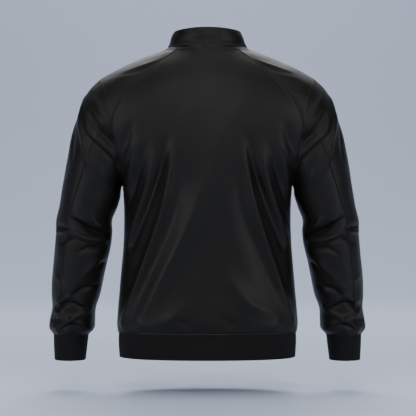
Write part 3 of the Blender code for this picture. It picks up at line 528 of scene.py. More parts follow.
def fold_curves(ground, normals, rows, facing, side=1, strength=1.0, spread=1.0):
    """Lays each fold of a table on the part of the ground that faces the given way.

    Each fold becomes (curve, half width, heights), where the curve goes smoothly through its three points
    and has a point every 2 mm. Where the points lie outside the ground's outline, they move to its edge."""
    spots = ground[normals[..., 1] * facing > 0.02]
    laid = []
    for row in rows:
        x0, z0, x1, z1, x2, z2, width, *heights = np.array(row, dtype=float) / 1000
        given = np.array(((x0, z0), (x1, z1), (x2, z2))) * (side, 1)
        count = int(np.linalg.norm(given[2] - given[0]) / 0.002) + 8
        s = np.linspace(0, 2, count)
        flat = through(given, s)
        nearest = spots[((spots[:, (0, 2)][:, None] - flat[None]) ** 2).sum(-1).argmin(0)]
        inside = np.linalg.norm(nearest[:, (0, 2)] - flat, axis=1) < 0.004
        curve = nearest.copy()
        curve[inside, 0], curve[inside, 2] = flat[inside, 0], flat[inside, 1]
        padded = np.pad(curve, ((3, 3), (0, 0)), mode="edge")
        curve = sum(padded[i : i + count] for i in range(7)) / 7
        laid.append((curve, width * spread, through(np.array(heights), s) * strength))
    return laid


def folds_on(points, curves):
    """How far the folds move each point of a surface along its normal.

    A fold moves a point by h(s) exp(-(d/w)^1.5): d is the distance to the fold's curve, w its half width,
    and h the height at the nearest place s of the curve."""
    moved = np.zeros(points.shape[:-1])
    for curve, width, heights in curves:
        low, high = curve.min(0) - 4 * width, curve.max(0) + 4 * width
        near = ((points > low) & (points < high)).all(-1)
        if not near.any():
            continue
        own = points[near]
        squares = (own**2).sum(1)[:, None] + (curve**2).sum(1)[None] - 2 * own @ curve.T
        closest = squares.min(1)
        weight = np.exp(-(squares - closest[:, None]) / (width / 2) ** 2)
        height = (weight @ heights) / weight.sum(1)
        moved[near] += height * np.exp(-((np.maximum(closest, 0) / width**2) ** 0.75))
    return moved


def kept_at(distances, names):
    """A factor that falls from 1 inside a piece to 0.15 at the named borders."""
    factor = 1.0
    for name in names:
        factor = factor * (1 - 0.85 * np.exp(-((distances[name] / HELD_REACH) ** 2)))
    return factor


def border_distances(points, seams):
    """Distance of each point to each border named in seams: first, last (rows), left, right (columns)."""
    across = lengths_along(points, 1)
    down = lengths_along(points, 0)
    all_four = {"first": down, "last": down[-1:] - down, "left": across, "right": across[:, -1:] - across}
    return {name: all_four[name] for name in seams}


def puckered(points, distances, stitched):
    """Turned-in seam, stitch groove and light puckering beside the seams.

    With d the distance to the seam and s that of the stitches, these are a welt exp(-((d - s/2)/width)^2)
    between the two, a groove -exp(-((d - s)/width)^2) at the stitches, and waves exp(-d/reach) along the
    seam, each times its own height."""
    moved = np.zeros(points.shape[:-1])
    for name, away in distances.items():
        axis = 1 if name in ("first", "last") else 0
        along = lengths_along(points, axis)
        first, second = (2 * math.pi * along / length for length in PUCKER_LENGTHS)
        waves = np.sin(first) + 0.7 * np.sin(second + 1.0)
        moved += PUCKER * waves * np.exp(-away / PUCKER_REACH) * (1 - np.exp(-((away / 0.0015) ** 2)))
        if name in stitched:
            moved += WELT * np.exp(-(((away - STITCH_FROM_SEAM / 2) / WELT_WIDTH) ** 2))
            moved -= GROOVE * np.exp(-(((away - STITCH_FROM_SEAM) / GROOVE_WIDTH) ** 2))
    return moved


def drawn_in(points, distances):
    """The grid with its borders moved in by half a seam gap, fading out over the first few millimetres."""
    moved = points.copy()
    for name, away in distances.items():
        axis = 0 if name in ("first", "last") else 1
        edge, inside = (0, 1) if name in ("first", "left") else (-1, -2)
        way = np.take(points, inside, axis) - np.take(points, edge, axis)
        way = np.expand_dims(way / np.maximum(np.linalg.norm(way, axis=-1), 1e-9)[..., None], axis)
        moved += way * (SEAM_HALF_GAP * np.exp(-((away / 0.001) ** 2)))[..., None]
    return moved


def half_walls(distances, wall, shape):
    """Half the wall at each point: whole inside, falling as a quarter circle to a third at each border."""
    half = np.full(shape, wall / 2)
    for away in distances.values():
        share = np.clip(away / (wall * 0.6), 0, 1)
        half = np.minimum(half, wall / 2 * (0.3 + 0.7 * np.sqrt(1 - (1 - share) ** 2)))
    return half


def skin_faces(rows, columns, wrap):
    """The quads of a grid of points, as an array of four indices."""
    index = np.arange(rows * columns).reshape(rows, columns)
    here = index if wrap else index[:, :-1]
    right = np.roll(index, -1, axis=1) if wrap else index[:, 1:]
    return np.stack((here[:-1], right[:-1], right[1:], here[1:]), -1).reshape(-1, 4), index


def make_mesh(name, points, faces, places=None, sharp=55.0):
    """A mesh object from arrays of points and quads, with an optional place on the cloth for each point."""
    mesh = bpy.data.meshes.new(name)
    mesh.vertices.add(len(points))
    mesh.vertices.foreach_set("co", points.astype(np.float32).ravel())
    mesh.loops.add(faces.size)
    mesh.loops.foreach_set("vertex_index", faces.astype(np.int32).ravel())
    mesh.polygons.add(len(faces))
    mesh.polygons.foreach_set("loop_start", np.arange(0, faces.size, faces.shape[1], dtype=np.int32))
    mesh.update(calc_edges=True)
    mesh.validate()
    mesh.shade_smooth()
    mesh.set_sharp_from_angle(angle=math.radians(sharp))
    if places is not None:
        layer = mesh.uv_layers.new(name="Cloth")
        layer.data.foreach_set("uv", places[faces.ravel()].astype(np.float32).ravel())
    made = bpy.data.objects.new(name, mesh)
    bpy.context.scene.collection.objects.link(made)
    return made


def shell(name, outer, inner, places, wrap=False, outward=True):
    """A closed shell from an outer and an inner skin on one grid, with a strip joining their borders."""
    rows, columns = outer.shape[:2]
    skin, index = skin_faces(rows, columns, wrap)
    count = rows * columns
    faces = [skin, skin[:, ::-1] + count]
    if wrap:
        borders = [index[0], index[-1, ::-1]]
    else:
        borders = [np.concatenate((index[0], index[1:, -1], index[-1, -2::-1], index[-2:0:-1, 0]))]
    for border in borders:
        after = np.roll(border, -1)
        faces.append(np.stack((after, border, border + count, after + count), -1))
    faces = np.concatenate(faces)
    if not outward:
        faces = faces[:, ::-1]
    points = np.concatenate((outer.reshape(-1, 3), inner.reshape(-1, 3)))
    return make_mesh(name, points, faces, np.concatenate((places.reshape(-1, 2),) * 2))


def cloth(name, points, wall, seams, stitched, flip, curves=(), held=(), extra=0.0, wrap=False):
    """One cloth piece: its surface moved by folds and puckers, drawn in at its seams and given its wall.

    Returns the object, the outer skin's points and its outward normals. flip is -1 where the grid's own
    normals point inward. Folds fade out at the borders in held. extra moves the outer skin alone."""
    normals = normals_of(points, wrap) * flip
    distances = border_distances(points, seams)
    moved = (folds_on(points, curves) + rippled(points)) * kept_at(distances, held) if curves else 0.0
    points = points + normals * (moved + puckered(points, distances, stitched))[..., None]
    normals = normals_of(points, wrap) * flip
    points = drawn_in(points, distances)
    half = half_walls(distances, wall, points.shape[:-1])[..., None]
    outer = points + normals * (half + np.asarray(extra)[..., None])
    inner = points - normals * half
    places = np.stack((lengths_along(points, 1), lengths_along(points, 0)), -1)
    return shell(name + "_cloth", outer, inner, places, wrap, flip > 0), outer, normals


def line_at(points, normals, border, distance):
    """The points and normals of a grid on the line that lies a given distance in from one border."""
    if border in ("first", "last"):
        points, normals = np.swapaxes(points, 0, 1), np.swapaxes(normals, 0, 1)
    if border in ("right", "last"):
        points, normals = points[:, ::-1], normals[:, ::-1]
    along = lengths_along(points, 1)
    low = np.clip((along < distance).sum(1) - 1, 0, points.shape[1] - 2)[:, None]
    start = np.take_along_axis(along, low, 1)
    t = ((distance - start) / (np.take_along_axis(along, low + 1, 1) - start))[..., None]
    low = low[..., None]
    found = [np.take_along_axis(grid, low, 1) * (1 - t) + np.take_along_axis(grid, low + 1, 1) * t
             for grid in (points, normals)]
    return found[0][:, 0], found[1][:, 0]


def spaced(points, normals, pitch, ends=0.002):
    """Places every pitch along a line: middles, unit directions and normals."""
    length = running_length(points)
    at = np.arange(ends + pitch / 2, length[-1] - ends, pitch)
    low = np.clip(np.searchsorted(length, at) - 1, 0, len(points) - 2)
    t = ((at - length[low]) / (length[low + 1] - length[low]))[:, None]
    middle = points[low] * (1 - t) + points[low + 1] * t
    way = points[low + 1] - points[low]
    way = way / np.linalg.norm(way, axis=1)[:, None]
    out = normals[low] * (1 - t) + normals[low + 1] * t
    return middle, way, out / np.linalg.norm(out, axis=1)[:, None]


def beads(middle, way, out, half_length, radius, flat=1.0):
    """Many short closed threads: squares of radii 0.4, 1, 1 and 0.4 along each, slightly bent to the cloth.

    Returns points and quads. flat squeezes a thread along its outward direction."""
    side = np.cross(way, out)
    steps = np.array((-1.0, -0.55, 0.55, 1.0))
    radii = np.array((0.4, 1.0, 1.0, 0.4)) * radius
    turns = np.arange(4) * math.pi / 2 + math.pi / 4
    ring = np.cos(turns)[:, None] * side[:, None, None, :]
    ring = ring + flat * np.sin(turns)[:, None] * out[:, None, None, :]
    sink = -0.25 * radius * steps**2
    centre = middle[:, None, None] + (steps * half_length)[:, None, None] * way[:, None, None]
    centre = centre + sink[:, None, None] * out[:, None, None]
    points = centre + ring * radii[:, None, None]
    faces, index = skin_faces(4, 4, True)
    faces = np.concatenate((faces, index[:1, ::-1], index[-1:]))
    faces = (np.arange(len(middle)) * 16)[:, None, None] + faces
    return points.reshape(-1, 3), faces.reshape(-1, 4)


def joined(parts):
    """Points and quads of many meshes as one."""
    starts = np.cumsum([0] + [len(points) for points, _ in parts[:-1]])
    points = np.concatenate([points for points, _ in parts])
    return points, np.concatenate([faces + start for (_, faces), start in zip(parts, starts)])


def finish_piece(made, material, slot, nodes=(), body=JACKET):
    """Gives a piece its material and the body that it rides on, and hides the nodes it stands for. slot is
    not used.
    """
    made.data.materials.append(bpy.data.materials[material])
    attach(made, body)
    if nodes:
        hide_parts(*nodes)
    return made


# ---------------------------------------------------------------- materials

def add_node(tree, kind, place, values=None, **settings):
    """A node at a place in the editor, with its settings and unlinked inputs filled in by name or number."""
    made = tree.nodes.new(kind)
    made.location = place
    for name, value in settings.items():
        setattr(made, name, value)
    for name, value in (values or {}).items():
        made.inputs[name].default_value = value
    return made


def math_node(tree, place, operation, *inputs):
    """The result of a math node at a place in the editor, fed in order by sockets and numbers."""
    made = add_node(tree, "ShaderNodeMath", place, operation=operation)
    for socket, given in zip(made.inputs, inputs):
        if isinstance(given, bpy.types.NodeSocket):
            tree.links.new(given, socket)
        else:
            socket.default_value = given
    return made.outputs[0]


def new_group(name, inputs, outputs):
    """A shader node group with named number inputs and outputs, and its two end nodes."""
    tree = bpy.data.node_groups.new(name, "ShaderNodeTree")
    for name, value in inputs.items():
        socket = tree.interface.new_socket(name, in_out="INPUT", socket_type="NodeSocketFloat")
        socket.default_value = value
    for socket in outputs:
        tree.interface.new_socket(socket, in_out="OUTPUT", socket_type="NodeSocketFloat")
    return tree, tree.nodes.new("NodeGroupInput"), tree.nodes.new("NodeGroupOutput")


def knit_group():
    """Knit: columns of small V-shaped loops on the cloth's own places, as a height from 0 to 1."""
    tree, given, made = new_group("Knit Loops", {"Pitch": 0.001, "Slant": 0.5}, ("Height",))
    place = add_node(tree, "ShaderNodeUVMap", (-900, 0), uv_map="Cloth")
    split = add_node(tree, "ShaderNodeSeparateXYZ", (-720, 0))
    tree.links.new(place.outputs["UV"], split.inputs[0])
    across = math_node(tree, (-540, 120), "DIVIDE", split.outputs["X"], given.outputs["Pitch"])
    down = math_node(tree, (-540, -80), "DIVIDE", split.outputs["Y"], given.outputs["Pitch"])
    fold = math_node(tree, (-360, 120), "PINGPONG", across, 1.0)
    slant = math_node(tree, (-360, -80), "MULTIPLY", fold, given.outputs["Slant"])
    row = math_node(tree, (-180, -80), "ADD", down, slant)
    wave = math_node(tree, (0, -80), "PINGPONG", row, 0.5)
    loop = math_node(tree, (0, 120), "MULTIPLY", wave, fold)
    height = math_node(tree, (180, 120), "MULTIPLY", loop, 2.0)
    tree.links.new(height, made.inputs["Height"])


def mottle_group():
    """Mottle: slow soft noise over the object, from 0 to 1, for uneven sheen and lint."""
    tree, given, made = new_group("Mottle", {"Scale": 30.0, "Detail": 3.0}, ("Value", "Fine"))
    place = add_node(tree, "ShaderNodeTexCoord", (-600, 0))
    slow = add_node(tree, "ShaderNodeTexNoise", (-360, 100), {"Roughness": 0.55})
    fine = add_node(tree, "ShaderNodeTexNoise", (-360, -160), {"Scale": 900.0, "Detail": 2.0})
    for node in (slow, fine):
        tree.links.new(place.outputs["Object"], node.inputs["Vector"])
    tree.links.new(given.outputs["Scale"], slow.inputs["Scale"])
    tree.links.new(given.outputs["Detail"], slow.inputs["Detail"])
    tree.links.new(slow.outputs["Fac"], made.inputs["Value"])
    tree.links.new(fine.outputs["Fac"], made.inputs["Fine"])
    return tree


def group_node(tree, group, place, values):
    """A node group placed in a material with its own values."""
    return add_node(tree, "ShaderNodeGroup", place, values, node_tree=bpy.data.node_groups[group])


def new_material(name, values):
    """A material, its node tree and its shader, with the shader's sockets filled in by name."""
    material = bpy.data.materials.new(name)
    material.use_nodes = True
    shader = material.node_tree.nodes["Principled BSDF"]
    for socket, value in values.items():
        shader.inputs[socket].default_value = value
    return material, material.node_tree, shader


def vary_roughness(tree, shader, mottle, place, low, high):
    """Feeds the shader's roughness from the mottle, between the two values."""
    rough = add_node(tree, "ShaderNodeMapRange", place,
                     {"From Min": 0.3, "From Max": 0.7, "To Min": low, "To Max": high})
    tree.links.new(mottle.outputs["Value"], rough.inputs["Value"])
    tree.links.new(rough.outputs["Result"], shader.inputs["Roughness"])


def cloth_material(name, colour, roughness, sheen, pitch, bump, contrast):
    """A cloth: a shader with sheen, loops as bump, and mottle that varies colour and roughness a little."""
    material, tree, shader = new_material(name, {
        "Metallic": 0.0, "Specular IOR Level": 0.15, "Sheen Weight": sheen, "Sheen Roughness": 0.35,
        "Sheen Tint": (1.0, 1.0, 1.0, 1.0)})
    loops = group_node(tree, "Knit Loops", (-760, -200), {"Pitch": pitch, "Slant": 0.5})
    mottle = group_node(tree, "Mottle", (-760, 160), {"Scale": 26.0, "Detail": 3.0})
    vary_roughness(tree, shader, mottle, (-480, 40), roughness - 0.04, roughness + 0.05)
    tone = add_node(tree, "ShaderNodeMix", (-480, 320), data_type="RGBA")
    tone.inputs["A"].default_value = [c * (1 - contrast) for c in colour] + [1.0]
    tone.inputs["B"].default_value = [c * (1 + contrast) for c in colour] + [1.0]
    tree.links.new(mottle.outputs["Fine"], tone.inputs["Factor"])
    tree.links.new(tone.outputs["Result"], shader.inputs["Base Color"])
    raised = add_node(tree, "ShaderNodeBump", (-480, -240), {"Strength": bump, "Distance": pitch * 0.35})
    tree.links.new(loops.outputs["Height"], raised.inputs["Height"])
    tree.links.new(raised.outputs["Normal"], shader.inputs["Normal"])
    return material


def plain_material(name, colour, roughness, metallic, scale):
    """A trim: a shader whose roughness is varied a little by mottle."""
    material, tree, shader = new_material(name, {"Base Color": (*colour, 1.0), "Metallic": metallic})
    mottle = group_node(tree, "Mottle", (-560, 0), {"Scale": scale, "Detail": 4.0})
    vary_roughness(tree, shader, mottle, (-300, 0), roughness - 0.08, roughness + 0.08)
    return material


# ---------------------------------------------------------------- settings

def tint(name, description, default):
    """A colour setting."""
    return FloatVectorProperty(name=name, description=description, subtype="COLOR", size=3,
                               min=0.0, max=1.0, default=default)


def number(name, description, default, unit="NONE"):
    """A number setting."""
    return FloatProperty(name=name, description=description, default=default, unit=unit)


class ClothSettings(bpy.types.PropertyGroup):
    """How the cloth is cut, folded and finished."""

    colour: tint("Cloth Colour", "Colour of the knit", (0.0062, 0.0058, 0.0052))
    rib_colour: tint("Rib Colour", "Colour of the rib bands", (0.0034, 0.0032, 0.0029))
    roughness: number("Roughness", "Roughness of the satin knit", 0.42)
    sheen: number("Sheen", "Strength of the knit's sheen", 0.004)
    knit_pitch: number("Knit Pitch", "Width of one column of loops", 0.0009, "LENGTH")
    body_folds: number("Body Folds", "Multiplies the body's fold heights", 2.8)
    sleeve_folds: number("Sleeve Folds", "Multiplies the sleeves' fold heights", 2.0)
    rib_pitch: number("Rib Pitch", "Width of one rib", 0.0025, "LENGTH")
    rib_depth: number("Rib Depth", "Depth of the grooves between ribs", 0.0004, "LENGTH")


class TrimSettings(bpy.types.PropertyGroup):
    """Stitches and zip."""

    stitch_pitch: number("Stitch Pitch", "From one stitch to the next", 0.0031, "LENGTH")
    stitch_radius: number("Thread Radius", "Radius of the sewing thread", 0.00026, "LENGTH")
    tooth_pitch: number("Tooth Pitch", "From one zip tooth to the next", 0.0015, "LENGTH")


class StageSettings(bpy.types.PropertyGroup):
    """Floor, backdrop, lights and camera."""

    floor_height: number("Floor Height", "Height of the floor", -0.749, "LENGTH")
    floor_colour: tint("Floor Colour", "Colour of floor and backdrop", (0.50, 0.56, 0.70))
    rim_power: number("Rim Light", "Power of the light behind", 6.0, "POWER")
    top_power: number("Top Light", "Power of the light above", 24.0, "POWER")
    key_power: number("Key Light", "Power of the light above the camera", 11.0, "POWER")
    strip_power: number("Strip Lights", "Power of each strip beside the camera", 12.0, "POWER")
    backdrop_power: number("Backdrop Light", "Power of the light on the backdrop", 120.0, "POWER")
    floor_power: number("Floor Light", "Power of the light on the floor behind", 36.0, "POWER")
    camera_distance: number("Camera Distance", "From the camera to the jacket", 3.3, "LENGTH")


# ---------------------------------------------------------------- operators

SKINS = {}


def body_grid(side, rows, columns):
    """A fine grid of half a body panel, edge to middle."""
    across = shares(columns, BODY_LENGTHS[1], end_seam=side == "front")
    down, across = np.meshgrid(shares(rows, BODY_LENGTHS[0]), across, indexing="ij")
    return body_surface(side, across, down)


def sleeve_levels(count):
    """Ring levels evenly spaced down the sleeve's middle, closer beside its two seams."""
    middle = (SLEEVE_RINGS[:, :2] + SLEEVE_RINGS[:, 2:4]) / 2
    length = running_length(middle)
    return np.interp(shares(count, length[-1]) * length[-1], length, np.arange(len(length)))


def sew(name, points, wall, flip, looks, flat, area, rests, seams=ALL_BORDERS, stitched=(), **folds):
    made, *SKINS[name] = cloth(name, points, wall, seams, stitched, flip, **folds)
    finish_piece(made, *looks, (name,))


class JACKET_OT_materials(bpy.types.Operator):
    """Make the knit, rib, tape, thread and metal materials"""

    bl_idname = "jacket.materials"
    bl_label = "Make Materials"

    def execute(self, context):
        look = context.scene.jacket_cloth
        knit_group()
        mottle_group()
        cloth_material("Satin Knit", look.colour, look.roughness, look.sheen, look.knit_pitch, 0.35, 0.12)
        cloth_material("Rib Knit", look.rib_colour, 0.72, 0.08, look.knit_pitch, 0.6, 0.2)
        cloth_material("Zip Tape", (0.006, 0.006, 0.0064), 0.75, 0.08, 0.0007, 0.6, 0.15)
        plain_material("Thread", (0.022, 0.022, 0.024), 0.45, 0.0, 80.0)
        plain_material("Zip Coil", (0.02, 0.02, 0.021), 0.38, 0.0, 60.0)
        plain_material("Zip Metal", (0.11, 0.11, 0.115), 0.32, 1.0, 120.0)
        return {"FINISHED"}


class JACKET_OT_body(bpy.types.Operator):
    """Build the back and the two fronts"""

    bl_idname = "jacket.body"
    bl_label = "Build Body"

    def execute(self, context):
        half = body_grid("back", *BACK_GRID)
        back = np.concatenate((half, mirror(half)[:, -2::-1]), axis=1)
        strength = context.scene.jacket_cloth.body_folds
        curves = fold_curves(back, -normals_of(back), BACK_FOLDS, 1, strength=strength, spread=BODY_SPREAD)
        held = ("last", "left", "right")
        rests = ("hem_band", "shoulder_left", "shoulder_right")
        sew("back", back, KNIT_WALL, -1, KNIT, (0.52, 0.72), 0.275, rests,
            stitched=ALL_BORDERS, curves=curves, held=held)
        left = body_grid("front", *FRONT_GRID)
        right = mirror(left)
        both = np.concatenate((left, right), axis=1)
        facing = np.concatenate((normals_of(left), -normals_of(right)), axis=1)
        curves = fold_curves(both, facing, FRONT_FOLDS, -1, strength=strength, spread=BODY_SPREAD)
        for name, points, flip in (("front_left", left, 1), ("front_right", right, -1)):
            rests = ("hem_band", name.replace("front", "shoulder"))
            sew(name, points, KNIT_WALL, flip, KNIT, (0.26, 0.69), 0.130, rests,
                stitched=ALL_BORDERS, curves=curves, held=held)
        return {"FINISHED"}


class JACKET_OT_shoulders(bpy.types.Operator):
    """Build the two shoulder saddles"""

    bl_idname = "jacket.shoulders"
    bl_label = "Build Shoulders"

    def execute(self, context):
        down, across = np.meshgrid(*map(shares, SHOULDER_GRID, SHOULDER_LENGTHS), indexing="ij")
        left = shoulder_surface(down, across)
        for name, points, side in (("shoulder_left", left, 1), ("shoulder_right", mirror(left), -1)):
            curves = fold_curves(points, normals_of(points) * side, SHOULDER_FOLDS, 1, side)
            sew(name, points, KNIT_WALL, side, KNIT, (0.32, 0.23), 0.033, ("neck_band",),
                stitched=("first", "left", "right"), curves=curves, held=ALL_BORDERS)
        return {"FINISHED"}


class JACKET_OT_sleeves(bpy.types.Operator):
    """Build the sleeves' outer and under panels"""

    bl_idname = "jacket.sleeves"
    bl_label = "Build Sleeves"

    def execute(self, context):
        level = sleeve_levels(SLEEVE_LEVELS)
        strength = context.scene.jacket_cloth.sleeve_folds
        panels = (
            # name, angles round the arm, stitched borders, flat size, area
            ("sleeve_under", math.pi - math.pi / 2 * shares(44, 0.12), ("last",), (0.17, 0.50), 0.055),
            ("sleeve_outer", math.pi / 2 - 1.5 * math.pi * shares(120, 0.36), ("first", "last", "left"),
             (0.48, 0.60), 0.148),
        )

        def surface(side, angles):
            levels, angles = np.meshgrid(level, angles, indexing="ij")
            points = sleeve_surface(SLEEVE_RINGS, angles, levels)
            return points if side == 1 else mirror(points)

        for hand, side in (("left", 1), ("right", -1)):
            ground = surface(side, np.linspace(math.pi, -math.pi, SLEEVE_LEVELS + 1))
            facing = normals_of(ground) * side
            curves = fold_curves(ground, facing, SLEEVE_BACK_FOLDS, 1, side, strength)
            curves += fold_curves(ground, facing, SLEEVE_FRONT_FOLDS, -1, side, strength)
            for panel, angles, stitched, flat, area in panels:
                sew(f"{panel}_{hand}", surface(side, angles), KNIT_WALL, side, KNIT, flat, area,
                    ("cuff_" + hand, "shoulder_" + hand), stitched=stitched, curves=curves,
                    held=("first", "last"))
        return {"FINISHED"}


class JACKET_OT_collar(bpy.types.Operator):
    """Build the neck band and the stand collar"""

    bl_idname = "jacket.collar"
    bl_label = "Build Collar"

    def execute(self, context):
        share = shares(NECK_COLUMNS, NECK_LENGTH)
        rings = []
        for ring in (NECK_SEAM, COLLAR_FOOT, COLLAR_TOP):
            start = math.asin(ZIP_HALF_OPENING / ring["half_width"])
            rings.append(neck_ring(ring, start + (2 * math.pi - 2 * start) * share))
        t = shares(6, BAND_HEIGHT)[:, None, None]
        band = rings[0] * (1 - t) + rings[1] * t
        sew("neck_band", band, KNIT_WALL, 1, KNIT, (0.54, 0.012), None, ("back",))
        t = shares(30, COLLAR_HEIGHT)[:, None, None]
        collar = rings[1] * (1 - t) + rings[2] * t
        normals = normals_of(collar)
        turn = (2 * math.pi * share - math.pi)[None]
        rise = t[..., 0]
        dent = -COLLAR_DENT * np.exp(-((rise - 0.33) / 0.17) ** 2) * (1 + 0.35 * np.cos(3 * turn + 0.6))
        wave = COLLAR_WAVE * np.sin(5 * turn + 4 * rise) * np.sin(math.pi * rise)
        bow = COLLAR_BOW * np.sin(math.pi * rise) + wave
        collar = collar + normals * (dent + bow)[..., None]
        sew("collar", collar, COLLAR_WALL, 1, KNIT, (0.50, 0.050), 0.020, ("neck_band",),
            stitched=("first", "left", "right"))
        return {"FINISHED"}


def rib_profile(columns, depth, distances):
    """Rib grooves for columns that go four to a rib: -depth (1 - cos)/2, fading out at the seams."""
    wave = -(1 - np.cos(np.arange(columns) * math.pi / 2)) / 2 * depth
    fade = 1.0
    for away in distances.values():
        fade = fade * (1 - np.exp(-((away / 0.0018) ** 2)))
    return wave[None] * fade


class JACKET_OT_ribs(bpy.types.Operator):
    """Build the hem band and the two cuffs"""

    bl_idname = "jacket.ribs"
    bl_label = "Build Rib Bands"

    def execute(self, context):
        look = context.scene.jacket_cloth
        line = []
        for side, columns in (("front", 400), ("back", 500)):
            down, across = np.meshgrid((0.0, 1.0), np.linspace(0, 1, columns), indexing="ij")
            line.append(body_surface(side, across, down)[-1])
        front, back = line
        top = np.concatenate((front[::-1], back[1:], mirror(back)[-2::-1], mirror(front)[1:]))
        length = running_length(top)
        count = 4 * round(length[-1] / look.rib_pitch) + 1
        top = respaced(top, length, np.linspace(0, length[-1], count))
        t = shares(7, HEM_HEIGHT)[:, None]
        nip = HEM_NIP * np.exp(-((t * HEM_HEIGHT / HEM_NIP_REACH) ** 2))
        inward = 1 - (t * HEM_DRAW_IN + nip) / np.linalg.norm(top[:, :2], axis=1)
        z = top[:, 2] + t * (HEM_BOTTOM_Z - HEM_TOP_Z)
        grid = np.stack((top[:, 0] * inward, top[:, 1] * inward, z), -1)
        grid[:, [0, -1], 0] = top[[0, -1], 0]
        ribs = rib_profile(count, look.rib_depth, border_distances(grid, ALL_BORDERS))
        sew("hem_band", grid, RIB_WALL, -1, RIB, (1.01, 0.054), None, ("back",), extra=ribs)
        columns = 4 * round(CUFF_GIRTH / look.rib_pitch)
        angles = math.pi - 2 * math.pi * np.arange(columns) / columns
        t, angles = np.meshgrid(shares(9, CUFF_LENGTH) * 2, angles, indexing="ij")
        left = sleeve_surface(CUFF_RINGS, angles, t)
        seams = ("first", "last")
        for hand, points, flip in (("left", left, 1), ("right", mirror(left), -1)):
            ribs = rib_profile(columns, look.rib_depth, border_distances(points, seams))
            sew("cuff_" + hand, points, RIB_WALL, flip, RIB, (0.24, 0.058), None, ("sleeve_outer_" + hand,),
                seams, extra=ribs, wrap=True)
        return {"FINISHED"}


class JACKET_OT_zip(bpy.types.Operator):
    """Build the zip's tapes and coils"""

    bl_idname = "jacket.zip"
    bl_label = "Build Zip"

    def execute(self, context):
        trim = context.scene.jacket_trim
        parts = (
            # piece, border, direction of its rows, wall
            ("hem_band", "left", -1, RIB_WALL),
            ("front_left", "right", -1, KNIT_WALL),
            ("neck_band", "left", 1, KNIT_WALL),
            ("collar", "left", 1, COLLAR_WALL),
        )
        lines = []
        for name, border, step, wall in parts:
            (edge, out), (outer, _) = (line_at(*SKINS[name], border, away) for away in TAPE_BORDERS)
            lines.append([rows[::step] for rows in (edge - out * wall / 2, outer - out * wall / 2, out)])
        edge, outer, normals = (np.concatenate(rows) for rows in zip(*lines))
        length = running_length(edge)
        at = np.linspace(TAPE_ENDS[0], length[-1] - TAPE_ENDS[1], 330)
        edge, outer, normals = (respaced(rows, length, at) for rows in (edge, outer, normals))
        flat = normals * (0, 1, 1)
        flat = flat / np.linalg.norm(flat, axis=1)[:, None]
        inner = edge * (0, 1, 1) + (TAPE_INNER_X, 0, 0)
        s = np.linspace(0, 1, 9)[None, :, None]
        grid = np.where(s < 0.5, inner[:, None] * (1 - 2 * s) + edge[:, None] * 2 * s,
                        edge[:, None] * (2 - 2 * s) + outer[:, None] * (2 * s - 1))
        ways = flat[:, None] * (1 - s) + normals[:, None] * s
        grid = grid - ways * TAPE_BEHIND
        for hand, points, flip in (("left", grid, 1), ("right", mirror(grid), -1)):
            sew("zip_tape_" + hand, points, TAPE_WALL, flip, TAPE, (0.0115, 0.70), None, ("front_" + hand,),
                ("left", "right"))
        middle = edge * (0, 1, 1) - flat * TOOTH_BEHIND
        coils = []
        for side, shift in ((1, 0.0), (-1, trim.tooth_pitch / 2)):
            places, up, out = spaced(middle[:-4], flat[:-4], trim.tooth_pitch, 0.001 + shift)
            way = np.array((side, 0.0, 0.0)) + up * TOOTH_LEAN
            way = way / np.linalg.norm(way, axis=1)[:, None]
            coils.append(beads(places + (side * TOOTH_X, 0, 0), way, out, *TOOTH_SIZE))
        made = make_mesh("zip_coils", *joined(coils), sharp=80.0)
        finish_piece(made, "Zip Coil", "zip_metal", ("zip_chain",))
        for name in ("zip_box", "zip_slider", "zip_pull"):
            plain = bpy.data.objects[name]
            plain.data.materials.clear()
            plain.data.materials.append(bpy.data.materials["Zip Metal"])
        return {"FINISHED"}


FRONTS, SHOULDERS, OUTERS, UNDERS = (
    (name + "_left", name + "_right") for name in ("front", "shoulder", "sleeve_outer", "sleeve_under"))
STITCH_LINES = (
    # pieces, borders, distance from each border in metres
    (("back",), ("left", "right", "last", "first"), STITCH_FROM_SEAM),
    (FRONTS, ("left", "last"), STITCH_FROM_SEAM),
    (FRONTS, ("right",), STITCH_FROM_ZIP),
    (SHOULDERS, ("last",), STITCH_FROM_SEAM),
    (OUTERS, ("left", "last"), STITCH_FROM_SEAM),
    (UNDERS, ("last",), STITCH_FROM_SEAM),
    (("collar",), ("first",), STITCH_FROM_SEAM),
    (("collar",), ("last",), STITCH_FROM_TOP),
    (("collar",), ("left", "right"), STITCH_FROM_ZIP),
)


class JACKET_OT_stitches(bpy.types.Operator):
    """Sew the lines of stitches beside the seams"""

    bl_idname = "jacket.stitches"
    bl_label = "Sew Stitches"

    def execute(self, context):
        trim = context.scene.jacket_trim
        threads = []
        lines = ((name, border, away) for names, borders, away in STITCH_LINES
                 for border in borders for name in names)
        for name, border, away in lines:
            points, out = line_at(*SKINS[name], border, away)
            middle, way, out = spaced(points, out, trim.stitch_pitch)
            middle = middle + out * trim.stitch_radius * 0.35
            threads.append(beads(middle, way, out, trim.stitch_pitch * 0.4, trim.stitch_radius))
        made = make_mesh("stitches", *joined(threads), sharp=80.0)
        finish_piece(made, "Thread", "knit")
        return {"FINISHED"}


def add_light(name, place, target, size, power, spread):
    """A soft rectangular light that points at a target and opens by spread degrees."""
    lamp = bpy.data.lights.new(name, "AREA")
    lamp.shape = "RECTANGLE"
    lamp.size, lamp.size_y = size
    lamp.energy = power
    lamp.spread = math.radians(spread)
    made = bpy.data.objects.new(name, lamp)
    made.location = place
    made.rotation_euler = (Vector(target) - Vector(place)).to_track_quat("-Z", "Y").to_euler()
    bpy.context.scene.collection.objects.link(made)
    return made


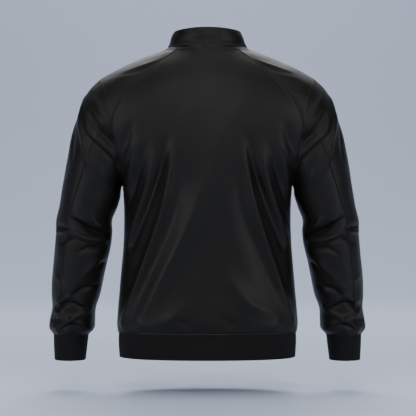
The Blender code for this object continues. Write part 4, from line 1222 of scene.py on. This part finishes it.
def studio_world(colour, seen, lit):
    """A world that the camera sees as a pale room but that lights the jacket only a little."""
    world = bpy.data.worlds.new("Studio")
    world.use_nodes = True
    tree = world.node_tree
    room = tree.nodes["Background"]
    room.inputs["Color"].default_value = (*colour, 1.0)
    room.inputs["Strength"].default_value = lit
    shown = add_node(tree, "ShaderNodeBackground", (-200, -160), {"Color": (*colour, 1.0), "Strength": seen})
    path = add_node(tree, "ShaderNodeLightPath", (-200, 300))
    mix = add_node(tree, "ShaderNodeMixShader", (60, 0))
    tree.links.new(path.outputs["Is Camera Ray"], mix.inputs[0])
    tree.links.new(room.outputs[0], mix.inputs[1])
    tree.links.new(shown.outputs[0], mix.inputs[2])
    tree.links.new(mix.outputs[0], tree.nodes["World Output"].inputs["Surface"])
    return world


LIGHTS = (
    # name, its power in the settings, place, target, size, spread in degrees
    ("rim", "rim_power", (0.0, -1.7, 1.5), (0.0, 0.0, -0.05), (3.0, 0.5), 60.0),
    ("top", "top_power", (0.0, 0.15, 2.6), (0.0, 0.0, -0.3), (2.0, 0.6), 180.0),
    ("key", "key_power", (0.0, 3.0, 1.3), (0.0, 0.0, -0.3), (1.8, 0.9), 90.0),
    ("strip_left", "strip_power", (2.7, 2.2, 0.5), (0.0, 0.0, -0.25), (0.5, 2.0), 90.0),
    ("strip_right", "strip_power", (-2.7, 2.2, 0.5), (0.0, 0.0, -0.25), (0.5, 2.0), 90.0),
    ("on_backdrop", "backdrop_power", (0.0, -2.4, 3.0), (0.0, -5.2, 0.2), (4.5, 1.0), 180.0),
    ("on_floor", "floor_power", (0.0, -1.6, 2.4), (0.0, -1.6, -0.7), (4.0, 1.6), 120.0),
)
FLOOR_LIGHTS = (
    # name, x, y, size
    ("floor_left", 5.2, 0.0, (4.0, 9.0)),
    ("floor_right", -5.2, 0.0, (4.0, 9.0)),
    ("floor_near", 0.0, 3.9, (9.0, 4.0)),
)
FLOOR_LIGHT_HEIGHT = 3.0
FLOOR_SHARE = 6

# Camera: focal length and sensor width in millimetres, then its place beside and above the origin
CAMERA_LENS = (130.0, 36.0)
CAMERA_X = -0.0013
CAMERA_Z = -0.3443


class JACKET_OT_stage(bpy.types.Operator):
    """Set up the floor, backdrop, lights and camera"""

    bl_idname = "jacket.stage"
    bl_label = "Set Up Stage"

    def execute(self, context):
        stage = context.scene.jacket_stage
        floor = stage.floor_height
        turn = np.linspace(0, math.pi / 2, 25)
        back_y = COVE_CURVE_Y - COVE_RADIUS
        y = np.concatenate((COVE_LEVEL_Y, COVE_CURVE_Y - COVE_RADIUS * np.sin(turn), [back_y]))
        level = [floor] * len(COVE_LEVEL_Y)
        z = np.concatenate((level, floor + COVE_RADIUS * (1 - np.cos(turn)), [floor + COVE_TOP]))
        x = np.linspace(-COVE_HALF_WIDTH, COVE_HALF_WIDTH, 9)
        points = np.stack(np.broadcast_arrays(x[None], y[:, None], z[:, None]), -1)
        faces, _ = skin_faces(len(y), len(x), False)
        cove = make_mesh("backdrop", points.reshape(-1, 3), faces[:, ::-1], sharp=80.0)
        material, _, _ = new_material("Backdrop", {
            "Base Color": (*stage.floor_colour, 1.0), "Roughness": 0.9, "Specular IOR Level": 0.1})
        cove.data.materials.append(material)
        context.scene.world = studio_world((0.62, 0.68, 0.80), 0.75, 0.04)
        for name, setting, place, target, size, spread in LIGHTS:
            add_light(name, place, target, size, getattr(stage, setting), spread)
        for name, x, y, size in FLOOR_LIGHTS:
            add_light(name, (x, y, FLOOR_LIGHT_HEIGHT), (x, y, floor), size,
                      stage.floor_power * FLOOR_SHARE, 90.0)
        lens = bpy.data.cameras.new("camera")
        lens.lens, lens.sensor_width = CAMERA_LENS
        camera = bpy.data.objects.new("camera", lens)
        camera.location = (CAMERA_X, stage.camera_distance, CAMERA_Z)
        camera.rotation_euler = (math.pi / 2, 0.0, math.pi)
        context.scene.collection.objects.link(camera)
        context.scene.camera = camera
        return {"FINISHED"}


class JACKET_PT_panel(bpy.types.Panel):
    """Lists the steps that build the jacket"""

    bl_label = "Track Jacket"
    bl_idname = "JACKET_PT_panel"
    bl_space_type = "VIEW_3D"
    bl_region_type = "UI"
    bl_category = "Jacket"

    def draw(self, context):
        for settings in (context.scene.jacket_cloth, context.scene.jacket_trim, context.scene.jacket_stage):
            column = self.layout.column()
            for name in settings.bl_rna.properties.keys():
                if name not in ("rna_type", "name"):
                    column.prop(settings, name)
        for step in STEPS:
            self.layout.operator(step.bl_idname)


STEPS = (
    JACKET_OT_materials,
    JACKET_OT_body,
    JACKET_OT_shoulders,
    JACKET_OT_sleeves,
    JACKET_OT_collar,
    JACKET_OT_ribs,
    JACKET_OT_zip,
    JACKET_OT_stitches,
    JACKET_OT_stage,
)
CLASSES = (ClothSettings, TrimSettings, StageSettings, *STEPS, JACKET_PT_panel)


def register():
    for one in CLASSES:
        bpy.utils.register_class(one)
    bpy.types.Scene.jacket_cloth = PointerProperty(type=ClothSettings)
    bpy.types.Scene.jacket_trim = PointerProperty(type=TrimSettings)
    bpy.types.Scene.jacket_stage = PointerProperty(type=StageSettings)


def unregister():
    del bpy.types.Scene.jacket_cloth
    del bpy.types.Scene.jacket_trim
    del bpy.types.Scene.jacket_stage
    for one in reversed(CLASSES):
        bpy.utils.unregister_class(one)


def main():
    """Runs every step in order."""
    register()
    for step in STEPS:
        group, name = step.bl_idname.split(".")
        getattr(getattr(bpy.ops, group), name)()
    bpy.context.view_layer.update()


if __name__ == "__main__":
    main()
